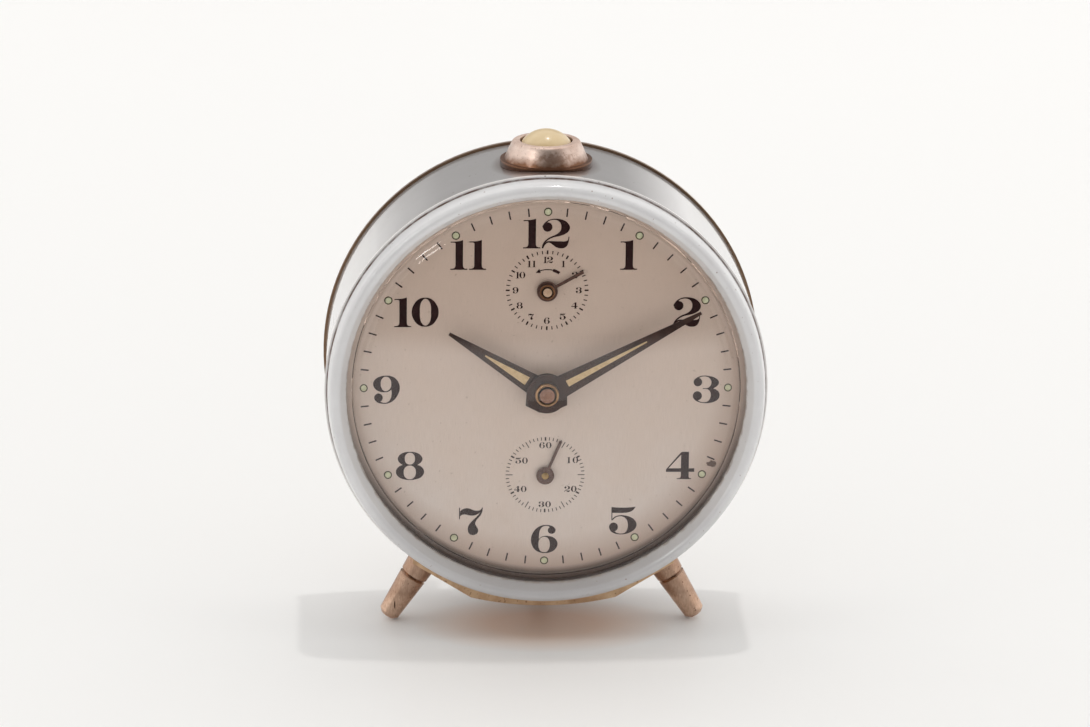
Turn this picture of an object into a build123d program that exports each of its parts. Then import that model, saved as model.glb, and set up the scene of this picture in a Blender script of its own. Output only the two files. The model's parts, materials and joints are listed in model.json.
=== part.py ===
from build123d import *
import os
from math import acos, atan2, cos, hypot, pi, radians, sin, sqrt, tan

# A wind-up drum alarm clock. Lengths in millimetres, angles in degrees.
# The clock axis runs along Y and the dial faces -Y. While it is built, y = 0 is the face of the dial
# and x = z = 0 the clock axis. On export the clock is moved to stand on z = 0.

# Case
case_radius = 44.0
case_wall = 0.8
case_front = -1.1
case_length = 27.1
leg_drop = 7.7  # underside of the drum above the floor

# Clearances
fit_gap = 0.02  # round a piece fixed in a hole
run_gap = 0.05  # round a turning shaft
free_gap = 0.3  # between pieces that move past each other
cut_margin = 1.0  # how far a cutting shape runs past its work

# Bezel and crystal
lip_overhang = 0.3
lip_depth = 0.7
ridge_inset = 1.8  # from the drum's outside in to the ridge
ridge_height = 5.2  # ridge in front of the drum's front edge
ridge_half_width = 1.05
ridge_inner_fall = 0.5
ridge_outer_fall = 0.65
groove_inset = 0.3
bezel_band = 4.0  # from the drum's outside in to the opening
bezel_edge = 1.6  # inner edge of the bezel in front of the crystal's flange
bezel_sheet = 0.6
skirt_depth = 2.7
crystal_thick = 1.2
crystal_stand = 2.25  # front of the crystal's flange in front of the dial
crystal_flange = 1.8
crystal_rise = 6.6  # middle of the crystal in front of its flange
crystal_shoulder = 2.6  # width of the steep edge of the crystal
shoulder_rise = 3.7

# Dial
dial_thick = 0.5
dial_foot_radius = 0.8
dial_foot_inset = 6.0  # from the plates' edge
dial_foot_first = 65.0

# Hands
hand_thick = 0.3
hour_hand_length = 23.05
hour_hand_angle = 302.2
hour_hand_height = 3.2  # back of the hand in front of the dial
minute_hand_gap = 5.15  # from its tip to the bezel's opening
minute_hand_angle = 61.1
minute_hand_height = 4.2
hand_half_width = 2.7
hand_tip_half_width = 0.3
hand_tail = 4.85
hand_tail_shoulder = 3.1
hand_boss_radius = 4.0
hour_slot_start = 4.6
hour_slot_end = 14.6
hour_slot_half_width = 0.95
minute_slot_start = 4.6
minute_slot_end = 22.6
minute_slot_half_width = 0.7
hand_nut_radius = 2.4
hand_nut_height = 1.1
seconds_hand_length = 7.9
seconds_hand_angle = 23.0
seconds_hand_height = 0.5
alarm_hand_length = 8.2
alarm_hand_angle = 60.6
alarm_hand_height = 0.7
small_hand_width = 0.58
seconds_boss_radius = 1.8
alarm_boss_radius = 2.07
alarm_boss_height = 0.5

# Stop button on top of the drum
button_radius = 4.9
button_top = 6.45  # above the drum
button_dome = 2.5
button_skirt = 0.7
button_travel = 1.8
button_middle = 11.4  # behind the dial
button_stem_radius = 1.5
collar_flange_radius = 9.2
collar_flange_height = 0.5
collar_base_radius = 8.4
collar_top_radius = 6.7
collar_opening = 5.3
collar_height = 4.25
collar_round = 0.7
collar_boss_radius = 3.4
collar_nut_radius = 5.6
collar_nut_height = 1.6
clip_radius = 2.6
clip_thick = 0.6

# Legs, saddle and rear foot
leg_splay = 31.8
leg_middle = 8.0  # behind the dial
leg_top_radius = 3.1
leg_tip_radius = 2.15
leg_tip_round = 0.7
leg_groove_depth = 0.35
leg_groove_width = 0.7
leg_groove_place = 5.8  # below the drum
floor_cut = 0.25  # depth of the flat worn on each tip
stud_radius = 1.5
stud_nut_radius = 3.2
stud_nut_height = 1.6
saddle_width = 12.0
saddle_drop = 2.9  # bottom of the saddle below the drum
saddle_bottom_radius = 62.0
saddle_seat = 2.1  # where each leg meets the saddle, below the drum
saddle_tip = 2.6  # how far the saddle runs past the middle of each leg
foot_radius = 2.5
foot_tip_radius = 2.0
foot_inset = 6.0  # from the drum's rear edge

# Plates
plate_thick = 1.0
cover_gap = 5.0  # from the back plate to the cover
plate_margin = 7.2  # from the plates out to the drum
plate_top_cut = 2.5  # taken off the plates to clear the button
plate_gap = 3.5  # from the dial's back to the front plate
pillar_inset = 2.0  # from the plates' edge
pillar_radius = 2.0
pillar_angles = (48.0, 150.0, 205.0, -20.0)
tenon_radius = 1.2
tenon_length = 3.0
standoff_radius = 2.8
cover_screw_head_radius = 2.4
cover_screw_head = 1.2
cover_screw_length = 3.6
screw_slot = 0.6

# Going train: teeth, and how far apart the arbors stand as shares of the plates' radius
great_teeth = 60
centre_pinion_teeth = 10
great_stand = 0.535
great_angle = 10.5
centre_teeth = 60
third_pinion_teeth = 8
third_stand = 0.397
third_teeth = 64
fourth_pinion_teeth = 8
fourth_stand = 0.36
seconds_stand = 0.5083  # seconds arbor below the clock axis
fourth_teeth = 64
escape_pinion_teeth = 8
escape_stand = 0.28
escape_angle = -30.0
escape_teeth = 15
escape_share = 0.139  # radius of both escape wheels
pins_over = 3.5  # tooth pitches from one pallet pin to the other
pallet_angle = 4.0  # direction of the pallet arbor, seen from the escape wheel
pallet_pin_radius = 0.25
pallet_pin_gap = 0.08  # outside the tips of the teeth at rest
escape_tooth_depth = 1.3
balance_stand = 0.25  # from the pallet arbor
balance_share = 0.211
balance_rim = 1.4
balance_thick = 1.2
impulse_circle = 2.2
impulse_pin_radius = 0.3

# Motion work
cannon_teeth = 12
minute_wheel_teeth = 36
minute_pinion_teeth = 15
hour_teeth = 60
alarm_wheel_teeth = 60
alarm_stand = 0.564  # alarm arbor above the clock axis, as a share of the plates' radius
motion_gap = 0.7  # from the dial's back to the hour wheel
motion_step = 0.4  # from the hour wheel to the minute wheel

# Alarm train
alarm_great_teeth = 48
alarm_pinion_teeth = 8
alarm_great_stand = 0.534
alarm_great_angle = 169.5
alarm_escape_stand = 0.389
alarm_escape_angle = 100.0
alarm_escape_teeth = 16
hammer_angle = 50.0  # direction of the hammer arbor, seen from the alarm escape wheel
hammer_gap = 1.7  # from the head of the hammer to the drum
hammer_head_radius = 2.2
hammer_head_length = 3.6
hammer_swing = 5.0
gong_stud_radius = 1.5

# Tooth proportions: heights in modules, widths as shares of the pitch
wheel_addendum = 0.95
wheel_dedendum = 1.15
wheel_root_share = 0.56
wheel_pitch_share = 0.44
wheel_tip_share = 0.16
pinion_addendum = 0.6
pinion_dedendum = 1.35
pinion_flank_share = 0.34
pinion_tip_share = 0.12
star_root_share = 0.5
star_tip_share = 0.12
window_count = 5
window_web = 1.0  # least width left between windows
wheel_rim = 1.6
wheel_hub = 1.6

# Layers between the plates: the winding work from the front plate
great_layer = 1.0
great_thick = 1.2
ratchet_thick = 0.8
ratchet_gap = 0.1
spring_gap = 0.3
spring_clear = 3.6  # behind the mainsprings

# The trains from the back plate forward to the front of each wheel
third_depth = 1.2
centre_depth = 2.4
alarm_escape_depth = 2.5
hairspring_depth = 3.0
balance_depth = 5.4
lever_depth = 7.0
escape_wheel_depth = 8.0
fourth_depth = 10.0
wheel_thick = 0.8
fine_wheel_thick = 0.6
pinion_overhang = 0.4

# Winding arbors, ratchets and mainsprings
arbor_radius = 2.0
arbor_pivot_radius = 1.0
arbor_end_radius = 1.6
ratchet_radius = 5.0
ratchet_depth = 0.8
ratchet_teeth = 18
click_circle = 7.6
click_length = 4.2
click_stud_radius = 0.6
click_half_width = 0.6
click_gap = 0.15  # between the nose and the ratchet
mainspring_band = 0.4
mainspring_pitch = 0.85
mainspring_turns = 10
mainspring_inner = 2.8
hairspring_band = 0.1
hairspring_pitch = 0.56
hairspring_turns = 8
hairspring_inner = 1.5
hairspring_width = 0.6
spring_post_radius = 1.0

# Small arbors
small_arbor_radius = 0.7
pivot_radius = 0.5
centre_arbor_radius = 1.6
centre_tip_height = 0.2
cannon_pipe_radius = 2.1
hour_pipe_radius = 2.7
alarm_arbor_radius = 1.1
alarm_tip_height = 0.3
alarm_pipe_radius = 2.0
seconds_tip_height = 0.15
minute_stud_radius = 1.0

# Behind the back plate
lever_thick = 0.7
stop_lever_layer = 0.5  # behind the back plate
hammer_layer = 1.8
hammer_arm_width = 1.2
stop_lever_stand = 0.333  # its pivot beside the clock axis
stop_lever_width = 3.0
stop_pin_radius = 0.5
stop_tab_width = 5.0
stop_tab_rise = 10.0  # top of the tab above the lever's pivot
stem_reach = 3.0  # stem of the button below its collar
stop_tab_gap = 0.2  # between the stem of the button and the tab
stop_lever_turn = 10.2
regulator_layer = 0.2
regulator_boss_radius = 1.5
regulator_stand = 0.25  # its pin from the balance
regulator_angle = 137.0
regulator_turn = 15.0
regulator_width = 2.0
regulator_pin_radius = 0.7
regulator_pin_height = 1.4  # tip behind the cover

# Back cover, keys and knobs
cover_thick = 0.8
cover_lip_overhang = 0.5
cover_lip_depth = 1.1
cover_skirt_depth = 2.4
cover_skirt = 0.6
key_gap = 0.8
key_hub_radius = 3.2
key_hub_length = 9.0
key_wing_reach = 9.5
key_wing_height = 7.5
key_wing_thick = 1.4
key_wing_corner = 2.4
knob_radius = 4.2
knob_length = 5.5
knob_flutes = 24
knob_flute_radius = 0.35

# Places that follow from the sizes above
case_rear = case_front + case_length
axis_height = case_radius + leg_drop
floor_size = 4 * case_radius  # wider than the whole clock
bore = case_radius - case_wall
opening = case_radius - bezel_band
skirt_outer = bore - fit_gap
skirt_inner = skirt_outer - bezel_sheet
ridge_radius = case_radius - ridge_inset
crystal_edge = opening + crystal_flange
crystal_front = -crystal_stand
crystal_back = crystal_front + crystal_thick
crystal_apex = crystal_front - crystal_rise
dial_radius = skirt_inner - fit_gap
plate_front = dial_thick + plate_gap
plate_back = plate_front + plate_thick
rear_plate_back = case_rear - cover_gap
rear_plate_front = rear_plate_back - plate_thick
plate_space = rear_plate_front - plate_back
plate_radius = bore - plate_margin
plate_top = plate_radius - plate_top_cut
minute_hand_length = opening - minute_hand_gap
ratchet_layer = great_layer + great_thick + ratchet_gap
spring_layer = ratchet_layer + ratchet_thick + spring_gap
spring_width = plate_space - spring_layer - spring_clear
third_layer = plate_space - third_depth
centre_layer = plate_space - centre_depth
alarm_escape_layer = plate_space - alarm_escape_depth
hairspring_layer = plate_space - hairspring_depth
balance_layer = plate_space - balance_depth
lever_layer = plate_space - lever_depth
escape_layer = plate_space - escape_wheel_depth
fourth_layer = plate_space - fourth_depth
escape_radius = escape_share * plate_radius
balance_distance = balance_stand * plate_radius
balance_radius = balance_share * plate_radius
regulator_reach = regulator_stand * plate_radius
cover_front = case_rear
cover_back = cover_front + cover_thick
key_front = cover_back + key_gap
key_back = key_front + key_hub_length
depth_middle = (crystal_apex + key_back) / 2
foot_middle = case_rear - foot_inset
leg_seat = case_radius + saddle_seat
leg_end = (axis_height + floor_cut) / cos(radians(leg_splay)) - leg_tip_radius * tan(radians(leg_splay))
stud_nut_top = sqrt(bore**2 - stud_nut_radius**2) - fit_gap
stud_end = stud_nut_top - stud_nut_height - fit_gap
collar_nut_top = sqrt(bore**2 - collar_nut_radius**2) - fit_gap
collar_boss_low = collar_nut_top - collar_nut_height - fit_gap
collar_floor = button_top - button_dome - button_skirt - button_travel - 2 * run_gap
stem_low = collar_boss_low - stem_reach
stop_tab_top = stem_low - stop_tab_gap
stop_lever_place = (stop_lever_stand * plate_radius, stop_tab_top - stop_tab_rise)
motion_front = dial_thick + motion_gap
minute_front = motion_front + wheel_thick + motion_step
mainspring_outer = mainspring_inner + mainspring_turns * mainspring_pitch
hairspring_outer = hairspring_inner + hairspring_turns * hairspring_pitch
click_nose = ratchet_radius + click_half_width + click_gap
hand_nut_front = -minute_hand_height - hand_thick - hand_nut_height


def polar(distance, angle, start=(0.0, 0.0)):
    turn = radians(angle)
    return (start[0] + distance * cos(turn), start[1] + distance * sin(turn))


def bearing(start, end):
    return atan2(end[1] - start[1], end[0] - start[0]) * 180 / pi


def crossing(first, first_reach, second, second_reach):
    # the point right of the line from first to second at the given distances from both
    span = hypot(second[0] - first[0], second[1] - first[1])
    inner = acos((first_reach**2 + span**2 - second_reach**2) / (2 * first_reach * span))
    return polar(first_reach, bearing(first, second) - inner * 180 / pi, first)


# Arbors as (x, z)
centre_place = (0.0, 0.0)
seconds_place = (0.0, -seconds_stand * plate_radius)
alarm_place = (0.0, alarm_stand * plate_radius)
great_reach = great_stand * plate_radius
great_module = 2 * great_reach / (great_teeth + centre_pinion_teeth)
great_place = polar(great_reach, great_angle)
third_reach = third_stand * plate_radius
centre_module = 2 * third_reach / (centre_teeth + third_pinion_teeth)
fourth_reach = fourth_stand * plate_radius
third_module = 2 * fourth_reach / (third_teeth + fourth_pinion_teeth)
third_place = crossing(centre_place, third_reach, seconds_place, fourth_reach)
escape_reach = escape_stand * plate_radius
fourth_module = 2 * escape_reach / (fourth_teeth + escape_pinion_teeth)
escape_place = polar(escape_reach, escape_angle, seconds_place)
pallet_reach = escape_radius / cos(pins_over * pi / escape_teeth)
verge_reach = escape_radius / cos(pins_over * pi / alarm_escape_teeth)
pallet_place = polar(pallet_reach, pallet_angle, escape_place)
balance_place = polar(balance_distance, pallet_angle, pallet_place)
hour_module = 2 * alarm_place[1] / (hour_teeth + alarm_wheel_teeth)
minute_reach = hour_module * (hour_teeth + minute_pinion_teeth) / 2
minute_module = 2 * minute_reach / (cannon_teeth + minute_wheel_teeth)
minute_place = (minute_reach, 0.0)
alarm_great_place = polar(alarm_great_stand * plate_radius, alarm_great_angle)
alarm_reach = alarm_escape_stand * plate_radius
alarm_module = 2 * alarm_reach / (alarm_great_teeth + alarm_pinion_teeth)
alarm_escape_place = polar(alarm_reach, alarm_escape_angle, alarm_great_place)
hammer_place = polar(verge_reach, hammer_angle, alarm_escape_place)
hammer_head_angle = bearing(centre_place, hammer_place)
hammer_circle = bore - hammer_gap - hammer_head_radius
hammer_head_place = polar(hammer_circle, hammer_head_angle)
hammer_arm = hypot(hammer_head_place[0] - hammer_place[0], hammer_head_place[1] - hammer_place[1])
pillar_circle = plate_radius - pillar_inset
pillar_places = [polar(pillar_circle, a) for a in pillar_angles]
dial_foot_circle = plate_radius - dial_foot_inset
dial_foot_places = [polar(dial_foot_circle, dial_foot_first + 120 * i) for i in range(3)]


# Shapes used again and again
def slab(sketch, front, depth):
    # a flat piece that stands upright, from its front face towards the back
    plane = Plane((0, front + depth, 0), x_dir=(1, 0, 0), z_dir=(0, -1, 0))
    return extrude(plane * sketch, depth)


def rod(place, radius, front, back):
    return slab(Pos(*place) * Circle(radius), front, back - front)


def turned(steps, place=(0.0, 0.0)):
    # a stepped shaft from (radius, front, back) rows that follow each other
    points = [(0, steps[0][1])]
    for radius, front, back in steps:
        points += [(radius, front), (radius, back)]
    points.append((0, steps[-1][2]))
    return Pos(place[0], 0, place[1]) * revolve(make_face(Polyline(*points, close=True)), Axis.Y)


def spun(points):
    return revolve(make_face(Polyline(*points, close=True)), Axis.Y)


def outline(points):
    return make_face(Polyline(*points, close=True))


def tooth_ring(teeth, module, phase, rows):
    # rows are (height above the pitch circle in modules, half width as a share of the half pitch)
    pitch_radius = module * teeth / 2
    points = []
    for i in range(teeth):
        middle = phase + 2 * pi * i / teeth
        rising = [(middle - share * pi / teeth, height) for height, share in rows]
        falling = [(middle + share * pi / teeth, height) for height, share in reversed(rows)]
        for turn, height in rising + falling:
            radius = pitch_radius + height * module
            points.append((radius * cos(turn), radius * sin(turn)))
    return outline(points)


def wheel(teeth, module, phase, place, front, thick):
    rows = [
        (-wheel_dedendum, wheel_root_share),
        (0, wheel_pitch_share),
        (wheel_addendum, wheel_tip_share),
    ]
    return slab(Pos(*place) * tooth_ring(teeth, module, phase, rows), front, thick)


def pinion(teeth, module, phase, place, front, thick):
    rows = [
        (-pinion_dedendum, pinion_flank_share),
        (0, pinion_flank_share),
        (pinion_addendum, pinion_tip_share),
    ]
    return slab(Pos(*place) * tooth_ring(teeth, module, phase, rows), front, thick)


def meshed(teeth, phase, place, other_teeth, other_place):
    # phase of the other ring when its gap faces a tooth of the first
    turn = radians(bearing(place, other_place))
    offset = teeth * (turn - phase) / (2 * pi)
    return turn + pi - 2 * pi / other_teeth * (0.5 - offset)


def spoked_wheel(teeth, module, arbor, place, front, thick):
    # a wheel with round windows between its hub and its rim
    body = wheel(teeth, module, 0, place, front, thick)
    hub = arbor + wheel_hub
    rim = module * (teeth / 2 - wheel_dedendum) - wheel_rim
    circle = (hub + rim) / 2
    window = min((rim - hub) / 2, circle * sin(pi / window_count) - window_web / 2)
    for i in range(window_count):
        body -= rod(polar(circle, 360 / window_count * i, place), window, front - thick, front + 2 * thick)
    return body


def upright(radius, x, y, low, high):
    return Pos(x, y, low) * Cylinder(radius, high - low, align=(Align.CENTER, Align.CENTER, Align.MIN))


def strap(start, end, width):
    # a flat bar with round ends
    length = hypot(end[0] - start[0], end[1] - start[1])
    middle = ((start[0] + end[0]) / 2, (start[1] + end[1]) / 2)
    return Pos(*middle) * Rot(0, 0, bearing(start, end)) * SlotCenterToCenter(length, width)


def turned_about(point, pivot, angle):
    reach = hypot(point[0] - pivot[0], point[1] - pivot[1])
    return polar(reach, bearing(pivot, point) + angle, pivot)


# Case
def leg_direction(side):
    # turns a piece that hangs straight down into the place of a leg
    return Pos(0, leg_middle, 0) * Rot(0, -side * leg_splay, 0)


def make_drum_case():
    body = spun(
        [(bore, case_front), (case_radius, case_front), (case_radius, case_rear), (bore, case_rear)]
    )
    body -= upright(collar_boss_radius + fit_gap, 0, button_middle, 0, case_radius + cut_margin)
    for side in (-1, 1):
        body -= leg_direction(side) * upright(stud_radius + fit_gap, 0, 0, -case_radius - cut_margin, 0)
    return body - upright(stud_radius + fit_gap, 0, foot_middle, -case_radius - cut_margin, 0)


def make_bezel():
    lip_radius = case_radius + lip_overhang
    lip_front = case_front - lip_depth
    ridge_front = case_front - ridge_height
    edge_front = crystal_front - bezel_edge
    inner_top = (ridge_radius - ridge_half_width, ridge_front + ridge_inner_fall)
    outer_top = (ridge_radius + ridge_half_width, ridge_front + ridge_outer_fall)
    groove = (case_radius - groove_inset, lip_front)
    bulge = (groove[0], (outer_top[1] + groove[1]) / 2)
    skirt_back = case_front + skirt_depth
    edges = [
        Line((opening, crystal_front), (opening, edge_front)),
        Line((opening, edge_front), inner_top),
        ThreePointArc(inner_top, (ridge_radius, ridge_front), outer_top),
        ThreePointArc(outer_top, bulge, groove),
        Polyline(
            groove,
            (lip_radius, lip_front),
            (lip_radius, case_front),
            (skirt_outer, case_front),
            (skirt_outer, skirt_back),
            (skirt_inner, skirt_back),
            (skirt_inner, lip_front),
            (outer_top[0] - bezel_sheet, outer_top[1] + bezel_sheet),
            (inner_top[0] + bezel_sheet / 2, inner_top[1] + bezel_sheet),
            (opening + bezel_sheet, crystal_front),
            (opening, crystal_front),
        ),
    ]
    return revolve(make_face(edges), Axis.Y)


def dome_edge(foot, foot_height, shoulder, shoulder_height, apex):
    # half section of a crystal face: steep shoulder, then a shallow dome up to the axis
    sag = shoulder_height - apex
    sphere = (shoulder**2 + sag**2) / (2 * sag)
    half = shoulder / 2
    dome_middle = (half, apex + sphere - sqrt(sphere**2 - half**2))
    corner = (
        shoulder + (foot - shoulder) * sin(pi / 4),
        foot_height + (shoulder_height - foot_height) * sin(pi / 4),
    )
    return [
        ThreePointArc((foot, foot_height), corner, (shoulder, shoulder_height)),
        ThreePointArc((shoulder, shoulder_height), dome_middle, (0, apex)),
    ]


def make_crystal():
    foot = opening - run_gap
    shoulder = foot - crystal_shoulder
    outer = dome_edge(foot, crystal_front, shoulder, crystal_front - shoulder_rise, crystal_apex)
    inner = dome_edge(
        foot - crystal_thick,
        crystal_back,
        shoulder - crystal_thick,
        crystal_back - shoulder_rise,
        crystal_apex + crystal_thick,
    )
    flange = Polyline(
        (foot - crystal_thick, crystal_back),
        (crystal_edge, crystal_back),
        (crystal_edge, crystal_front),
        (foot, crystal_front),
    )
    axis_line = Line((0, crystal_apex), (0, crystal_apex + crystal_thick))
    return revolve(make_face(outer + inner + [flange, axis_line]), Axis.Y)


def make_dial_ring():
    return spun([(opening, crystal_back), (dial_radius, crystal_back), (dial_radius, 0), (opening, 0)])


def make_dial():
    face = Circle(dial_radius)
    face -= Circle(hour_pipe_radius + free_gap)
    face -= Pos(*alarm_place) * Circle(alarm_arbor_radius + free_gap)
    face -= Pos(*seconds_place) * Circle(pivot_radius + free_gap)
    body = slab(face, 0, dial_thick)
    for place in dial_foot_places:
        body += rod(place, dial_foot_radius, dial_thick, plate_back)
    return body


def make_back_cover():
    lip_radius = case_radius + cover_lip_overhang
    lip_back = cover_front + cover_lip_depth
    body = spun(
        [
            (0, cover_front),
            (skirt_outer - cover_skirt, cover_front),
            (skirt_outer - cover_skirt, cover_front - cover_skirt_depth),
            (skirt_outer, cover_front - cover_skirt_depth),
            (skirt_outer, cover_front),
            (lip_radius, cover_front),
            (lip_radius, lip_back),
            (bore, lip_back),
            (bore - cover_lip_depth, cover_back),
            (0, cover_back),
        ]
    )
    holes = [Pos(*great_place) * Circle(arbor_end_radius + free_gap)]
    holes.append(Pos(*alarm_great_place) * Circle(arbor_end_radius + free_gap))
    holes.append(Circle(centre_arbor_radius + free_gap))
    holes.append(Pos(*alarm_place) * Circle(alarm_arbor_radius + free_gap))
    holes += [Pos(*place) * Circle(tenon_radius + fit_gap) for place in pillar_places]
    sweep = CenterArc(
        balance_place, regulator_reach, regulator_angle - regulator_turn, 2 * regulator_turn
    )
    holes.append(SlotArc(sweep, 2 * (regulator_pin_radius + free_gap)))
    for hole in holes:
        body -= slab(hole, cover_front - cut_margin, cover_thick + 2 * cut_margin)
    return body


def saddle_point(offset):
    # a point of the face that the right leg is screwed against, by its distance from the leg's middle
    turn = radians(leg_splay)
    return (leg_seat * sin(turn) + offset * cos(turn), offset * sin(turn) - leg_seat * cos(turn))


def saddle_corner_offset():
    # where that face meets the curved bottom of the saddle
    rise = saddle_bottom_radius - case_radius - saddle_drop
    across = rise * sin(radians(leg_splay))
    along = leg_seat + rise * cos(radians(leg_splay))
    return across - sqrt(saddle_bottom_radius**2 - along**2)


def make_saddle():
    low = case_radius + saddle_drop
    corner, corner_low = saddle_point(saddle_corner_offset())
    side, side_low = saddle_point(saddle_tip)
    edges = [
        ThreePointArc((-corner, corner_low), (0, -low), (corner, corner_low)),
        Polyline(
            (corner, corner_low),
            (side, side_low),
            (side, 0),
            (-side, 0),
            (-side, side_low),
            (-corner, corner_low),
        ),
    ]
    front = leg_middle - saddle_width / 2
    body = slab(make_face(edges), front, saddle_width)
    body -= rod(centre_place, case_radius + fit_gap, front - cut_margin, front + saddle_width + cut_margin)
    for side in (-1, 1):
        body -= leg_direction(side) * upright(stud_radius + fit_gap, 0, 0, -leg_seat - cut_margin, 0)
    return body


def make_leg(side):
    groove = case_radius + leg_groove_place
    points = [(0, -leg_end), (leg_tip_radius - leg_tip_round, -leg_end)]
    points.append((leg_tip_radius, -leg_end + leg_tip_round))
    for place, inset in (
        (groove + leg_groove_width / 2, 0),
        (groove, leg_groove_depth),
        (groove - leg_groove_width / 2, 0),
        (leg_seat, 0),
    ):
        share = (leg_end - place) / (leg_end - leg_seat)
        points.append((leg_tip_radius + (leg_top_radius - leg_tip_radius) * share - inset, -place))
    points += [(stud_radius, -leg_seat), (stud_radius, -stud_end), (0, -stud_end)]
    profile = Plane.XZ * outline(points)
    body = leg_direction(side) * revolve(profile, Axis.Z)
    return body - Pos(0, 0, -axis_height) * Box(
        floor_size, floor_size, axis_height, align=(Align.CENTER, Align.CENTER, Align.MAX)
    )


def make_rear_foot():
    height = axis_height - case_radius + cut_margin
    cone = Pos(0, foot_middle, -axis_height) * Cone(
        foot_tip_radius, foot_radius, height, align=(Align.CENTER, Align.CENTER, Align.MIN)
    )
    cone -= rod(centre_place, case_radius + fit_gap, case_front, case_rear)
    return cone + upright(stud_radius, 0, foot_middle, -case_radius - cut_margin, -stud_end)


def make_leg_nuts():
    flat = RegularPolygon(stud_nut_radius, 6) - Circle(stud_radius + fit_gap)
    nut = Pos(0, 0, -stud_nut_top) * extrude(flat, stud_nut_height)
    return Compound(
        [leg_direction(-1) * nut, leg_direction(1) * nut, Pos(0, foot_middle, 0) * nut]
    )


def make_button_collar():
    top = case_radius + collar_height
    flange_top = case_radius + collar_flange_height
    cone = Pos(0, button_middle, flange_top) * Cone(
        collar_base_radius,
        collar_top_radius,
        top - flange_top,
        align=(Align.CENTER, Align.CENTER, Align.MIN),
    )
    cone = fillet(cone.edges().sort_by(Axis.Z)[-1], collar_round)
    flange_low = sqrt(case_radius**2 - collar_flange_radius**2) - cut_margin
    cone += upright(collar_flange_radius, 0, button_middle, flange_low, flange_top)
    cone -= upright(collar_opening, 0, button_middle, case_radius + collar_floor, top + cut_margin)
    cone -= rod(centre_place, case_radius + fit_gap, case_front, case_rear)
    body = cone + upright(collar_boss_radius, 0, button_middle, collar_boss_low, case_radius + collar_floor)
    return body - upright(button_stem_radius + run_gap, 0, button_middle, 0, top)


def make_collar_nut():
    body = upright(collar_nut_radius, 0, button_middle, collar_nut_top - collar_nut_height, collar_nut_top)
    return body - upright(collar_boss_radius + fit_gap, 0, button_middle, 0, case_radius)


def make_stop_button():
    top = case_radius + button_top
    rim = top - button_dome
    low = rim - button_skirt
    sphere = (button_radius**2 + button_dome**2) / (2 * button_dome)
    half = button_radius / 2
    crown = ThreePointArc((0, top), (half, top - sphere + sqrt(sphere**2 - half**2)), (button_radius, rim))
    tip = ThreePointArc(
        (button_stem_radius, stem_low + button_stem_radius),
        (button_stem_radius * sin(pi / 4), stem_low + button_stem_radius * (1 - sin(pi / 4))),
        (0, stem_low),
    )
    sides = Polyline(
        (button_radius, rim),
        (button_radius, low),
        (button_stem_radius, low),
        (button_stem_radius, stem_low + button_stem_radius),
    )
    section = make_face([crown, sides, tip, Line((0, stem_low), (0, top))])
    return Pos(0, button_middle, 0) * revolve(Plane.XZ * section, Axis.Z)


def make_button_clip():
    top = collar_boss_low - run_gap
    ring = upright(clip_radius, 0, button_middle, top - clip_thick, top)
    return ring - upright(button_stem_radius + fit_gap, 0, button_middle, 0, case_radius)


# Plates and what joins them
def plate_outline():
    cut = Pos(0, plate_top + plate_radius) * Rectangle(2 * plate_radius, 2 * plate_radius)
    return Circle(plate_radius) - cut


def drilled(face, holes):
    for place, radius in holes:
        face -= Pos(*place) * Circle(radius)
    return face


pivot_places = (third_place, escape_place, pallet_place, balance_place, alarm_escape_place)
shaft_holes = [(centre_place, centre_arbor_radius + run_gap), (alarm_place, alarm_arbor_radius + run_gap)]
shaft_holes += [(place, pivot_radius + run_gap) for place in pivot_places + (seconds_place,)]
shaft_holes += [(place, tenon_radius + fit_gap) for place in pillar_places]


def make_front_plate():
    holes = list(shaft_holes)
    holes += [(place, arbor_pivot_radius + run_gap) for place in (great_place, alarm_great_place)]
    holes += [(place, dial_foot_radius + fit_gap) for place in dial_foot_places]
    holes.append((hammer_place, pivot_radius + run_gap))
    holes.append((minute_place, minute_stud_radius + fit_gap))
    return slab(drilled(plate_outline(), holes), plate_front, plate_thick)


def make_back_plate():
    holes = list(shaft_holes)
    holes += [(place, arbor_end_radius + run_gap) for place in (great_place, alarm_great_place)]
    holes.append((hammer_place, small_arbor_radius + run_gap))
    body = slab(drilled(plate_outline(), holes), rear_plate_front, plate_thick)
    boss = Circle(regulator_boss_radius) - Circle(pivot_radius + run_gap)
    boss_height = regulator_layer + lever_thick
    return body + slab(Pos(*balance_place) * boss, rear_plate_back, boss_height)


def make_pillars():
    steps = [
        (tenon_radius, plate_front, plate_back),
        (pillar_radius, plate_back, rear_plate_front),
        (tenon_radius, rear_plate_front, rear_plate_front + tenon_length),
    ]
    return Compound([turned(steps, place) for place in pillar_places])


def make_standoffs():
    flat = RegularPolygon(standoff_radius, 6) - Circle(tenon_radius + fit_gap)
    return Compound(
        [slab(Pos(*p) * flat, rear_plate_back, cover_front - rear_plate_back) for p in pillar_places]
    )


def make_cover_screws():
    screws = []
    for place in pillar_places:
        screw = turned(
            [
                (tenon_radius, cover_back - cover_screw_length, cover_back),
                (cover_screw_head_radius, cover_back, cover_back + cover_screw_head),
            ],
            place,
        )
        slot = Pos(*place) * Rectangle(2 * (cover_screw_head_radius + cut_margin), screw_slot)
        screws.append(screw - slab(slot, cover_back + cover_screw_head / 2, cover_screw_head))
    return Compound(screws)


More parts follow.
